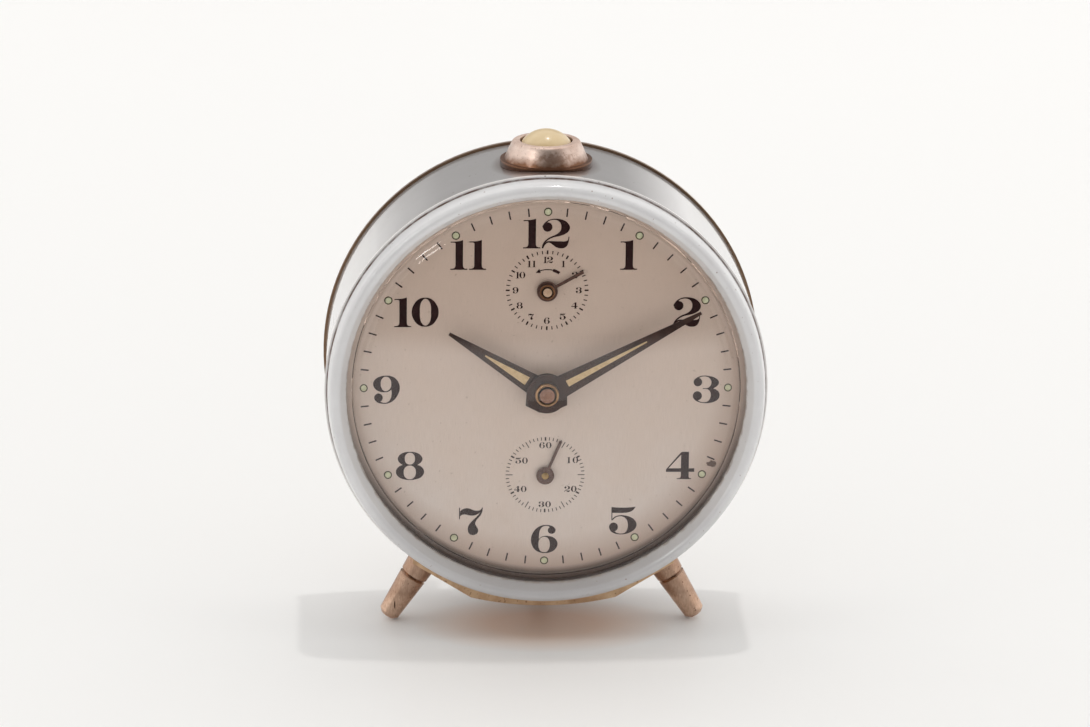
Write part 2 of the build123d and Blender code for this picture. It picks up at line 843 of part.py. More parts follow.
def make_plate_studs():
    # studs of the minute wheel, the stop lever and the hairspring, and the posts of both mainsprings
    minute_stud = rod(minute_place, minute_stud_radius, motion_front, plate_back)
    lever_back = rear_plate_back + stop_lever_layer + lever_thick + run_gap * 2
    lever_front = rear_plate_back + stop_lever_layer - run_gap * 2
    lever_stud = turned(
        [
            (stop_lever_width / 2, rear_plate_back, lever_front),
            (small_arbor_radius, lever_front, lever_back),
            (stop_lever_width / 2, lever_back, lever_back + lever_thick),
        ],
        stop_lever_place,
    )
    studs = [minute_stud, lever_stud]
    ends = ((great_place, 1), (alarm_great_place, -1))
    for place, side in ends:
        reach = mainspring_outer + mainspring_band / 2 + fit_gap + spring_post_radius
        post = (place[0] + side * reach, place[1])
        studs.append(rod(post, spring_post_radius, plate_back + spring_layer, rear_plate_front))
    reach = hairspring_outer + hairspring_band / 2 + fit_gap + small_arbor_radius
    post = (balance_place[0] + reach, balance_place[1])
    studs.append(rod(post, small_arbor_radius, plate_back + hairspring_layer, rear_plate_front))
    return Compound(studs)


def spiral_band(place, inner, pitch, turns, band, side, front, width):
    # a flat spring wound as half circles about two centres half a pitch apart
    def chain(offset):
        arcs = []
        for k in range(2 * turns):
            radius = inner + k * pitch / 2 + offset
            middle = 0 if k % 2 == 0 else pitch / 2
            way = 1 if k % 2 == 0 else -1
            arcs.append(
                ThreePointArc((middle + way * radius, 0), (middle, way * radius), (middle - way * radius, 0))
            )
        return arcs

    outer, inside = chain(band / 2), chain(-band / 2)
    caps = [Line(outer[0] @ 0, inside[0] @ 0), Line(outer[-1] @ 1, inside[-1] @ 1)]
    face = make_face(outer + inside + caps)
    if side < 0:
        face = mirror(face, Plane.YZ)
    return slab(Pos(*place) * face, front, width)


# Going train
def make_great_wheel():
    front = plate_back + great_layer
    phase = meshed(centre_pinion_teeth, 0, centre_place, great_teeth, great_place)
    body = wheel(great_teeth, great_module, phase, great_place, front, great_thick)
    back = front + great_thick
    body -= rod(great_place, arbor_radius + run_gap, front - cut_margin, back + cut_margin)
    return body + click_stud(great_place, 1)


def click_place(place, side):
    return (place[0], place[1] + side * click_circle)


def click_stud(place, side):
    back = plate_back + ratchet_layer + ratchet_thick
    return rod(click_place(place, side), click_stud_radius, plate_back + great_layer + great_thick, back)


def make_winding_arbor(place):
    return turned(
        [
            (arbor_pivot_radius, plate_front, plate_back + free_gap),
            (arbor_radius, plate_back + free_gap, rear_plate_front - free_gap),
            (arbor_end_radius, rear_plate_front - free_gap, key_front + key_hub_length / 2),
        ],
        place,
    )


def make_ratchet(place):
    points = []
    for i in range(ratchet_teeth):
        points.append(polar(ratchet_radius, 360 / ratchet_teeth * i))
        points.append(polar(ratchet_radius - ratchet_depth, 360 / ratchet_teeth * (i + 1)))
    flat = outline(points) - Circle(arbor_radius + fit_gap)
    return slab(Pos(*place) * flat, plate_back + ratchet_layer, ratchet_thick)


def make_click(place, side):
    # the nose rests just outside the tips of the ratchet
    pivot = click_place(place, side)
    nose_turn = acos((click_circle**2 + click_length**2 - click_nose**2) / (2 * click_circle * click_length))
    nose = polar(click_length, -90 * side + nose_turn * 180 / pi, pivot)
    flat = strap(pivot, nose, 2 * click_half_width)
    flat += Pos(*pivot) * Circle(2 * click_half_width)
    flat -= Pos(*pivot) * Circle(click_stud_radius + run_gap)
    return slab(flat, plate_back + ratchet_layer, ratchet_thick)


def make_mainspring(place, side):
    return spiral_band(
        (place[0] - side * mainspring_pitch / 2, place[1]),
        mainspring_inner,
        mainspring_pitch,
        mainspring_turns,
        mainspring_band,
        side,
        plate_back + spring_layer,
        spring_width,
    )


def make_key(place):
    hub = rod(place, key_hub_radius, key_front, key_back)
    wing_front = key_back - key_wing_height
    wing = Pos(place[0], wing_front + key_wing_height / 2, place[1]) * Box(
        key_wing_thick, key_wing_height, 2 * key_wing_reach
    )
    corners = wing.edges().filter_by(Axis.X)
    body = hub + fillet(corners, key_wing_corner)
    socket_end = key_front + key_hub_length / 2
    return body - rod(place, arbor_end_radius + fit_gap, key_front - cut_margin, socket_end)


def make_centre_wheel():
    front = plate_back + great_layer - pinion_overhang
    body = turned([(centre_arbor_radius, hand_nut_front - centre_tip_height, key_front + knob_length / 2)])
    body += pinion(
        centre_pinion_teeth, great_module, 0, centre_place, front, great_thick + 2 * pinion_overhang
    )
    layer = plate_back + centre_layer
    return body + spoked_wheel(
        centre_teeth, centre_module, centre_arbor_radius, centre_place, layer, wheel_thick
    )


def make_cannon_pinion():
    body = rod(centre_place, cannon_pipe_radius, -minute_hand_height - hand_thick, plate_front - run_gap)
    body += pinion(cannon_teeth, minute_module, 0, centre_place, minute_front, wheel_thick)
    return body - rod(centre_place, centre_arbor_radius + fit_gap, -case_radius, case_radius)


def make_minute_wheel():
    phase = meshed(cannon_teeth, 0, centre_place, minute_wheel_teeth, minute_place)
    body = wheel(minute_wheel_teeth, minute_module, phase, minute_place, minute_front, wheel_thick)
    leaf = meshed(hour_teeth, 0, centre_place, minute_pinion_teeth, minute_place)
    body += pinion(
        minute_pinion_teeth, hour_module, leaf, minute_place, motion_front, minute_front - motion_front
    )
    return body - rod(minute_place, minute_stud_radius + run_gap, 0, plate_front)


def make_hour_wheel():
    body = wheel(hour_teeth, hour_module, 0, centre_place, motion_front, wheel_thick)
    body += rod(centre_place, hour_pipe_radius, -hour_hand_height - hand_thick, motion_front + wheel_thick)
    return body - rod(centre_place, cannon_pipe_radius + run_gap, -case_radius, case_radius)


def small_arbor(place):
    return turned(
        [
            (pivot_radius, plate_front, plate_back + free_gap),
            (small_arbor_radius, plate_back + free_gap, rear_plate_front - free_gap),
            (pivot_radius, rear_plate_front - free_gap, rear_plate_back),
        ],
        place,
    )


def make_third_wheel():
    leaf = meshed(centre_teeth, 0, centre_place, third_pinion_teeth, third_place)
    layer = plate_back + centre_layer - pinion_overhang
    disc_layer = plate_back + third_layer
    body = small_arbor(third_place)
    body += pinion(third_pinion_teeth, centre_module, leaf, third_place, layer, disc_layer - layer)
    return body + spoked_wheel(
        third_teeth, third_module, small_arbor_radius, third_place, disc_layer, fine_wheel_thick
    )


def make_fourth_wheel():
    leaf = meshed(third_teeth, 0, third_place, fourth_pinion_teeth, seconds_place)
    layer = plate_back + third_layer - pinion_overhang
    body = small_arbor(seconds_place)
    body += rod(
        seconds_place, pivot_radius, -seconds_hand_height - hand_thick - seconds_tip_height, plate_front
    )
    body += pinion(
        fourth_pinion_teeth,
        third_module,
        leaf,
        seconds_place,
        layer,
        fine_wheel_thick + pinion_overhang + run_gap,
    )
    disc_layer = plate_back + fourth_layer
    return body + spoked_wheel(
        fourth_teeth, fourth_module, small_arbor_radius, seconds_place, disc_layer, fine_wheel_thick
    )


def star(teeth, phase):
    # pointed teeth of an escape wheel
    module = 2 * escape_radius / teeth
    rows = [(-escape_tooth_depth / module, star_root_share), (0, star_tip_share)]
    return tooth_ring(teeth, module, phase, rows)


def star_phase(teeth, angle):
    # the pallet pins stand a quarter of a pitch from the nearest teeth
    return radians(angle) + pi * (pins_over - 0.5) / teeth


def pallet_pins(teeth, angle, place):
    half = pins_over * 180 / teeth
    reach = escape_radius + pallet_pin_radius + pallet_pin_gap
    return [polar(reach, angle + half * side, place) for side in (-1, 1)]


def make_escape_wheel():
    leaf = meshed(fourth_teeth, 0, seconds_place, escape_pinion_teeth, escape_place)
    layer = plate_back + fourth_layer - pinion_overhang
    body = small_arbor(escape_place)
    body += pinion(
        escape_pinion_teeth,
        fourth_module,
        leaf,
        escape_place,
        layer,
        fine_wheel_thick + 2 * pinion_overhang,
    )
    disc = Pos(*escape_place) * star(escape_teeth, star_phase(escape_teeth, pallet_angle))
    return body + slab(disc, plate_back + escape_layer, fine_wheel_thick)


def pallet_frame(teeth, angle, wheel_place, place, lever_front, pin_front, pin_back):
    # flat arms from the arbor to the two pins that the escape wheel kicks
    pins = pallet_pins(teeth, angle, wheel_place)
    flat = Pos(*place) * Circle(2 * small_arbor_radius)
    for pin in pins:
        flat += strap(place, pin, 4 * pallet_pin_radius)
    body = slab(flat, lever_front, fine_wheel_thick)
    for pin in pins:
        body += rod(pin, pallet_pin_radius, pin_front, pin_back)
    return body


def make_pallet_lever():
    front = plate_back + lever_layer
    pin_front = plate_back + escape_layer - free_gap
    body = small_arbor(pallet_place)
    body += pallet_frame(
        escape_teeth, pallet_angle, escape_place, pallet_place, front, pin_front, front + fine_wheel_thick
    )
    reach = balance_distance - impulse_circle - impulse_pin_radius - free_gap
    notch = 4 * impulse_pin_radius
    fork = strap(pallet_place, polar(reach - notch, pallet_angle, pallet_place), notch)
    prong_root = polar(reach - notch / 2, pallet_angle, pallet_place)
    prong = Pos(*prong_root) * Rot(0, 0, pallet_angle) * Rectangle(notch, 2 * notch)
    gap = Pos(*prong_root) * Rot(0, 0, pallet_angle) * Rectangle(2 * notch, notch)
    yoke = Pos(*polar(reach - notch, pallet_angle, pallet_place)) * Rot(0, 0, pallet_angle)
    fork += yoke * Rectangle(notch, 2 * notch)
    fork += prong - gap
    return body + slab(fork, front, fine_wheel_thick)


def make_balance():
    front = plate_back + balance_layer
    rim = Circle(balance_radius) - Circle(balance_radius - balance_rim)
    bar = Rot(0, 0, pallet_angle) * Rectangle(2 * balance_radius - balance_rim, balance_rim)
    body = slab(Pos(*balance_place) * (rim + bar), front, balance_thick)
    body += small_arbor(balance_place)
    pin = polar(impulse_circle, pallet_angle + 180, balance_place)
    body += rod(pin, impulse_pin_radius, plate_back + lever_layer - free_gap, front)
    collet_front = plate_back + hairspring_layer - free_gap
    collet_back = plate_back + hairspring_layer + hairspring_width + free_gap
    return body + rod(balance_place, hairspring_inner - free_gap, collet_front, collet_back)


def make_hairspring():
    return spiral_band(
        (balance_place[0] - hairspring_pitch / 2, balance_place[1]),
        hairspring_inner,
        hairspring_pitch,
        hairspring_turns,
        hairspring_band,
        1,
        plate_back + hairspring_layer,
        hairspring_width,
    )


def make_regulator():
    front = rear_plate_back + regulator_layer
    pin = polar(regulator_reach, regulator_angle, balance_place)
    flat = strap(balance_place, pin, regulator_width)
    flat += Pos(*balance_place) * Circle(2 * regulator_boss_radius)
    flat -= Pos(*balance_place) * Circle(regulator_boss_radius + run_gap)
    body = slab(flat, front, lever_thick)
    return body + rod(pin, regulator_pin_radius, front, cover_back + regulator_pin_height)


def make_knob(place, hole):
    flat = Circle(knob_radius) - Circle(hole)
    for i in range(knob_flutes):
        flat -= Pos(*polar(knob_radius, 360 / knob_flutes * i)) * Circle(knob_flute_radius)
    body = slab(Pos(*place) * flat, key_front, knob_length)
    cap_front = key_front + knob_length / 2 + fit_gap
    return body + rod(place, hole + run_gap, cap_front, key_front + knob_length)


# Hands
def hand_outline(length):
    return outline(
        [
            (-hand_tip_half_width, length),
            (hand_tip_half_width, length),
            (hand_half_width, -hand_tail_shoulder),
            (0, -hand_tail),
            (-hand_half_width, -hand_tail_shoulder),
        ]
    )


def slot_outline(half_width, start, end, gap):
    tip = hand_tip_half_width / 2
    return outline(
        [
            (-half_width + gap, start + gap),
            (half_width - gap, start + gap),
            (tip - gap, end - gap),
            (gap - tip, end - gap),
        ]
    )


def pointing(angle):
    return Rot(0, 0, -angle)


def make_hour_hand():
    slot = slot_outline(hour_slot_half_width, hour_slot_start, hour_slot_end, 0)
    flat = hand_outline(hour_hand_length) - slot
    flat += Circle(hand_boss_radius)
    flat -= Circle(hour_pipe_radius + fit_gap)
    return slab(pointing(hour_hand_angle) * flat, -hour_hand_height - hand_thick, hand_thick)


def make_hour_lume():
    flat = slot_outline(hour_slot_half_width, hour_slot_start, hour_slot_end, fit_gap)
    return slab(pointing(hour_hand_angle) * flat, -hour_hand_height - hand_thick, hand_thick)


def make_minute_hand():
    slot = slot_outline(minute_slot_half_width, minute_slot_start, minute_slot_end, 0)
    flat = hand_outline(minute_hand_length) - slot
    flat += Circle(hand_boss_radius)
    flat -= Circle(cannon_pipe_radius + fit_gap)
    return slab(pointing(minute_hand_angle) * flat, -minute_hand_height - hand_thick, hand_thick)


def make_minute_lume():
    flat = slot_outline(minute_slot_half_width, minute_slot_start, minute_slot_end, fit_gap)
    return slab(pointing(minute_hand_angle) * flat, -minute_hand_height - hand_thick, hand_thick)


def make_hand_nut():
    flat = Circle(hand_nut_radius) - Circle(centre_arbor_radius + fit_gap)
    return slab(flat, hand_nut_front, hand_nut_height)


def small_hand(length, boss, hole):
    flat = Pos(0, length / 2) * Rectangle(small_hand_width, length)
    return flat + Circle(boss) - Circle(hole)


def make_seconds_hand():
    flat = small_hand(seconds_hand_length, seconds_boss_radius, pivot_radius + fit_gap)
    turned_flat = Pos(*seconds_place) * pointing(seconds_hand_angle) * flat
    return slab(turned_flat, -seconds_hand_height - hand_thick, hand_thick)


def make_alarm_hand():
    flat = small_hand(alarm_hand_length, alarm_boss_radius, alarm_arbor_radius + fit_gap)
    front = -alarm_hand_height - hand_thick
    body = slab(Pos(*alarm_place) * pointing(alarm_hand_angle) * flat, front, hand_thick)
    ring = Circle((alarm_boss_radius + alarm_arbor_radius) / 2) - Circle(alarm_arbor_radius + fit_gap)
    return body + slab(Pos(*alarm_place) * ring, front - alarm_boss_height, alarm_boss_height)


# Alarm
def make_alarm_arbor():
    tip = -alarm_hand_height - hand_thick - alarm_boss_height - alarm_tip_height
    return turned([(alarm_arbor_radius, tip, key_front + knob_length / 2)], alarm_place)


def make_alarm_wheel():
    phase = meshed(hour_teeth, 0, centre_place, alarm_wheel_teeth, alarm_place)
    body = wheel(alarm_wheel_teeth, hour_module, phase, alarm_place, motion_front, wheel_thick)
    body += rod(alarm_place, alarm_pipe_radius, motion_front - free_gap, plate_front - free_gap)
    return body - rod(alarm_place, alarm_arbor_radius + run_gap, 0, plate_front)


def make_alarm_great_wheel():
    front = plate_back + great_layer
    body = wheel(alarm_great_teeth, alarm_module, 0, alarm_great_place, front, great_thick)
    back = front + great_thick
    body -= rod(alarm_great_place, arbor_radius + run_gap, front - cut_margin, back + cut_margin)
    return body + click_stud(alarm_great_place, -1)


def make_alarm_escape_wheel():
    leaf = meshed(alarm_great_teeth, 0, alarm_great_place, alarm_pinion_teeth, alarm_escape_place)
    layer = plate_back + great_layer - pinion_overhang
    body = small_arbor(alarm_escape_place)
    body += pinion(
        alarm_pinion_teeth,
        alarm_module,
        leaf,
        alarm_escape_place,
        layer,
        great_thick + 2 * pinion_overhang,
    )
    disc = Pos(*alarm_escape_place) * star(alarm_escape_teeth, star_phase(alarm_escape_teeth, hammer_angle))
    return body + slab(disc, plate_back + alarm_escape_layer, wheel_thick)


def make_hammer():
    layer = rear_plate_back + hammer_layer
    body = turned(
        [
            (pivot_radius, plate_front, plate_back + free_gap),
            (small_arbor_radius, plate_back + free_gap, layer + lever_thick),
        ],
        hammer_place,
    )
    verge_front = plate_back + alarm_escape_layer - fine_wheel_thick - free_gap
    body += pallet_frame(
        alarm_escape_teeth,
        hammer_angle,
        alarm_escape_place,
        hammer_place,
        verge_front,
        verge_front,
        plate_back + alarm_escape_layer + wheel_thick + free_gap,
    )
    body += slab(strap(hammer_place, hammer_head_place, hammer_arm_width), layer, lever_thick)
    head_front = layer + lever_thick / 2 - hammer_head_length / 2
    return body + rod(hammer_head_place, hammer_head_radius, head_front, head_front + hammer_head_length)


def make_gong_stud():
    # stands beside the head, just out of reach at the end of the hammer's swing
    reach = hammer_head_radius + gong_stud_radius + hammer_arm * radians(hammer_swing) + free_gap
    place = polar(reach, bearing(hammer_place, hammer_head_place) + 90, hammer_head_place)
    front = rear_plate_back + hammer_layer + lever_thick / 2 - hammer_head_length / 2
    return rod(place, gong_stud_radius, front, cover_front)


def make_stop_lever():
    front = rear_plate_back + stop_lever_layer
    arm_turn = bearing(hammer_place, hammer_head_place)
    arm_middle = polar(hammer_arm / 2, arm_turn, hammer_place)
    pressed = polar(hammer_arm_width / 2 + stop_pin_radius + free_gap, arm_turn - 90, arm_middle)
    pin = turned_about(pressed, stop_lever_place, -stop_lever_turn)
    tab_middle = (0.0, stop_tab_top - lever_thick / 2)
    flat = strap(stop_lever_place, pin, stop_lever_width)
    flat += strap(stop_lever_place, (0.0, stop_tab_top - stop_lever_width / 2), stop_lever_width)
    flat += Pos(*tab_middle) * Rectangle(stop_tab_width, lever_thick)
    flat -= Pos(*stop_lever_place) * Circle(small_arbor_radius + run_gap)
    body = slab(flat, front, lever_thick)
    tab_front = button_middle - button_stem_radius
    body += slab(Pos(*tab_middle) * Rectangle(stop_tab_width, lever_thick), tab_front, front - tab_front)
    hammer_back = rear_plate_back + hammer_layer + lever_thick
    return body + rod(pin, stop_pin_radius, front, hammer_back)


pieces = {
    "drum_case": make_drum_case(),
    "bezel": make_bezel(),
    "crystal": make_crystal(),
    "dial_ring": make_dial_ring(),
    "dial": make_dial(),
    "back_cover": make_back_cover(),
    "leg_saddle": make_saddle(),
    "left_leg": make_leg(-1),
    "right_leg": make_leg(1),
    "rear_foot": make_rear_foot(),
    "leg_nuts": make_leg_nuts(),
    "button_collar": make_button_collar(),
    "collar_nut": make_collar_nut(),
    "stop_button": make_stop_button(),
    "button_clip": make_button_clip(),
    "front_plate": make_front_plate(),
    "back_plate": make_back_plate(),
    "pillars": make_pillars(),
    "standoffs": make_standoffs(),
    "cover_screws": make_cover_screws(),
    "plate_studs": make_plate_studs(),
    "time_great_wheel": make_great_wheel(),
    "time_arbor": make_winding_arbor(great_place),
    "time_ratchet": make_ratchet(great_place),
    "time_click": make_click(great_place, 1),
    "time_mainspring": make_mainspring(great_place, 1),
    "time_key": make_key(great_place),
    "centre_wheel": make_centre_wheel(),
    "cannon_pinion": make_cannon_pinion(),
    "minute_wheel": make_minute_wheel(),
    "hour_wheel": make_hour_wheel(),
    "third_wheel": make_third_wheel(),
    "fourth_wheel": make_fourth_wheel(),
    "escape_wheel": make_escape_wheel(),
    "pallet_lever": make_pallet_lever(),
    "balance_wheel": make_balance(),
    "hairspring": make_hairspring(),
    "regulator_lever": make_regulator(),
    "set_knob": make_knob(centre_place, centre_arbor_radius + fit_gap),
    "hour_hand": make_hour_hand(),
    "hour_lume": make_hour_lume(),
    "minute_hand": make_minute_hand(),
    "minute_lume": make_minute_lume(),
    "hand_nut": make_hand_nut(),
    "seconds_hand": make_seconds_hand(),
    "alarm_hand": make_alarm_hand(),
    "alarm_arbor": make_alarm_arbor(),
    "alarm_wheel": make_alarm_wheel(),
    "alarm_set_knob": make_knob(alarm_place, alarm_arbor_radius + fit_gap),
    "alarm_great_wheel": make_alarm_great_wheel(),
    "alarm_winding_arbor": make_winding_arbor(alarm_great_place),
    "alarm_ratchet": make_ratchet(alarm_great_place),
    "alarm_click": make_click(alarm_great_place, -1),
    "alarm_mainspring": make_mainspring(alarm_great_place, -1),
    "alarm_key": make_key(alarm_great_place),
    "alarm_escape_wheel": make_alarm_escape_wheel(),
    "hammer": make_hammer(),
    "gong_stud": make_gong_stud(),
    "stop_lever": make_stop_lever(),
}

os.makedirs("parts", exist_ok=True)
standing = Pos(0, -depth_middle, axis_height)
for name, piece in pieces.items():
    export_step(standing * piece, f"parts/{name}.step")
print("mainspring turns stand", round(mainspring_pitch - mainspring_band, 3), "apart")
print("hairspring turns stand", round(hairspring_pitch - hairspring_band, 3), "apart")
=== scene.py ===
import json
import math

import bmesh
import bpy
from mathutils import Color, Matrix, Vector


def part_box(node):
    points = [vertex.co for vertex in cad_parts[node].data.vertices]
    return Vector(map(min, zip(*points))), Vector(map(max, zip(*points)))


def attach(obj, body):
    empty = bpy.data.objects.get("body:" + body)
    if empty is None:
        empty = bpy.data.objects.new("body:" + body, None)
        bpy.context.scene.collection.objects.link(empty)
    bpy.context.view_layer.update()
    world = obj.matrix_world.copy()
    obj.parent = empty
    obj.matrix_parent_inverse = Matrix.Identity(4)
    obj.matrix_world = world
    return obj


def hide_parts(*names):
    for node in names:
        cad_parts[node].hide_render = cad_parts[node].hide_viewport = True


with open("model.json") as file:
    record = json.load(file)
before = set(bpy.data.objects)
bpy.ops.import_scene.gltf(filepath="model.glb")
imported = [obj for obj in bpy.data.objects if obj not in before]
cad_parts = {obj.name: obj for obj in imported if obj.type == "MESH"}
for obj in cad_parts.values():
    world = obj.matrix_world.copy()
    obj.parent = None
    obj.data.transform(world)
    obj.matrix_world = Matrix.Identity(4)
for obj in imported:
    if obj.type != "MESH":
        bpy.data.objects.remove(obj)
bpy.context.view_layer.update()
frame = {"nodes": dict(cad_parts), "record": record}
nodes = frame["nodes"]
scene = bpy.context.scene
mm = 0.001

# the middle of the dial's face is the datum for all that follows
dialLow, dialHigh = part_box("dial")
axisX = (dialLow.x + dialHigh.x) / 2
axisZ = (dialLow.z + dialHigh.z) / 2
faceY = dialLow.y
dialPlace = Matrix.Translation((axisX, faceY, axisZ)) @ Matrix.Scale(mm, 4)
smallDials = {"alarm": (0, 20.3), "seconds": (0, -18.3)}  # their middles, x and z in millimetres
lampTint = (1.0, 0.985, 0.965)
print("frame loaded, datum", round(axisX, 5), round(faceY, 5), round(axisZ, 5))


# node helpers
def fillSockets(tree, node, inputs):  # a socket is linked, any other value is set
    for name, value in inputs.items():
        if isinstance(value, bpy.types.NodeSocket):
            tree.links.new(value, node.inputs[name])
        else:
            node.inputs[name].default_value = value


def addNode(tree, kind, inputs, **settings):
    made = tree.nodes.new(kind)
    for name, value in settings.items():
        setattr(made, name, value)
    fillSockets(tree, made, inputs)
    return made.outputs


def mathValue(tree, operation, first, second=0.0):
    return addNode(tree, "ShaderNodeMath", {0: first, 1: second}, operation=operation)[0]


def vectorMath(tree, operation, first, second=(0, 0, 0)):
    return addNode(tree, "ShaderNodeVectorMath", {0: first, 1: second}, operation=operation)


def axisValue(tree, place, axis):
    return addNode(tree, "ShaderNodeSeparateXYZ", {0: place})[axis]


def fadeValue(tree, value, start, end, low=0.0, high=1.0):
    sockets = {"Value": value, "From Min": start, "From Max": end, "To Min": low, "To Max": high}
    return addNode(tree, "ShaderNodeMapRange", sockets)[0]


def mixColour(tree, factor, first, second, blend="MIX"):
    sockets = {0: factor, 6: first, 7: second}  # by number, since the names A and B come several times
    return addNode(tree, "ShaderNodeMix", sockets, data_type="RGBA", blend_type=blend)[2]


def noiseValue(tree, vector, scale, detail=3.0, roughness=0.55):
    sockets = {"Vector": vector, "Scale": scale, "Detail": detail, "Roughness": roughness}
    return addNode(tree, "ShaderNodeTexNoise", sockets)[0]


def bumpNormal(tree, height, depth):  # depth in millimetres
    return addNode(tree, "ShaderNodeBump", {"Height": height, "Distance": depth * mm, "Strength": 1.0})[0]


def unevenNormal(tree, place, scale, depth, detail=3.0):
    return bumpNormal(tree, noiseValue(tree, place, scale, detail), depth)


def mixShader(tree, factor, first, second):
    return addNode(tree, "ShaderNodeMixShader", {0: factor, 1: first, 2: second})[0]


def startGroup(name, sockets):
    tree = bpy.data.node_groups.new(name, "ShaderNodeTree")
    for label, kind in sockets.items():
        tree.interface.new_socket(name=label, in_out="INPUT", socket_type="NodeSocket" + kind)
    return tree, tree.nodes.new("NodeGroupInput").outputs


def endGroup(tree, results):
    for label, (kind, _) in results.items():
        tree.interface.new_socket(name=label, in_out="OUTPUT", socket_type="NodeSocket" + kind)
    end = tree.nodes.new("NodeGroupOutput")
    for label, (_, socket) in results.items():
        tree.links.new(socket, end.inputs[label])
    return tree


def useGroup(tree, group, place, inputs):
    return addNode(tree, "ShaderNodeGroup", {"Vector": place, **inputs}, node_tree=group)


def makeMottle():  # cloudy change from one colour to another
    cloud = {"detail": 6.0, "roughness": 0.62, "fade": (0.36, 0.66)}
    tree, ins = startGroup("mottle", {
        "Vector": "Vector", "Scale": "Float", "Amount": "Float", "Fresh": "Color", "Aged": "Color"})
    noise = noiseValue(tree, ins["Vector"], ins["Scale"], cloud["detail"], cloud["roughness"])
    mask = mathValue(tree, "MULTIPLY", fadeValue(tree, noise, *cloud["fade"]), ins["Amount"])
    mixed = mixColour(tree, mask, ins["Fresh"], ins["Aged"])
    return endGroup(tree, {"Color": ("Color", mixed), "Mask": ("Float", mask)})


def makeSpecks():  # small sharp spots, more of them as Share falls
    spot = {"detail": 1.5, "roughness": 0.5, "edge": 0.03}
    tree, ins = startGroup("specks", {
        "Vector": "Vector", "Scale": "Float", "Share": "Float", "Strength": "Float"})
    noise = noiseValue(tree, ins["Vector"], ins["Scale"], spot["detail"], spot["roughness"])
    full = mathValue(tree, "ADD", ins["Share"], spot["edge"])
    mask = fadeValue(tree, noise, ins["Share"], full, 0.0, ins["Strength"])
    return endGroup(tree, {"Mask": ("Float", mask)})


def makeDistance():  # how far from Middle, each axis squeezed, with an edge made ragged by up to Rough
    tree, ins = startGroup("distance", {
        "Vector": "Vector", "Middle": "Vector", "Squeeze": "Vector", "Scale": "Float", "Rough": "Float"})
    offset = vectorMath(tree, "SUBTRACT", ins["Vector"], ins["Middle"])["Vector"]
    squeezed = vectorMath(tree, "MULTIPLY", offset, ins["Squeeze"])["Vector"]
    even = vectorMath(tree, "LENGTH", squeezed)["Value"]
    noiseFade = (0.3, 0.7, -1.0, 1.0)  # nearly all of the noise, spread to both sides of nothing
    shift = fadeValue(tree, noiseValue(tree, ins["Vector"], ins["Scale"]), *noiseFade)
    ragged = mathValue(tree, "ADD", even, mathValue(tree, "MULTIPLY", shift, ins["Rough"]))
    return endGroup(tree, {"Away": ("Float", ragged)})


def makeGrain():  # fine lines along one direction
    line = {"scale": 1.0, "detail": 3.0, "roughness": 0.6}
    tree, ins = startGroup("grain", {"Vector": "Vector", "Stretch": "Vector"})
    drawn = vectorMath(tree, "MULTIPLY", ins["Vector"], ins["Stretch"])["Vector"]
    return endGroup(tree, {"Value": ("Float", noiseValue(tree, drawn, **line))})


mottle = makeMottle()
specks = makeSpecks()
distance = makeDistance()
grain = makeGrain()
roundAxis = (1, 0, 1)  # the squeeze that leaves a distance across the dial


def startMaterial(name, values):  # a surface whose coordinates are millimetres from the datum
    material = bpy.data.materials.new(name)
    material.use_nodes = True
    tree = material.node_tree
    tree.nodes.clear()
    end = tree.nodes.new("ShaderNodeOutputMaterial")
    shader = tree.nodes.new("ShaderNodeBsdfPrincipled")
    tree.links.new(shader.outputs[0], end.inputs["Surface"])
    fillSockets(tree, shader, values)
    place = addNode(tree, "ShaderNodeMapping", {
        "Vector": tree.nodes.new("ShaderNodeTexCoord").outputs["Object"],
        "Location": (-axisX / mm, -faceY / mm, -axisZ / mm), "Scale": (1 / mm, 1 / mm, 1 / mm)})
    return material, tree, shader, place[0]


def colour(red, green, blue):  # screen values 0-255 to what a shader takes
    return (*Color((red / 255, green / 255, blue / 255)).from_srgb_to_scene_linear(), 1.0)


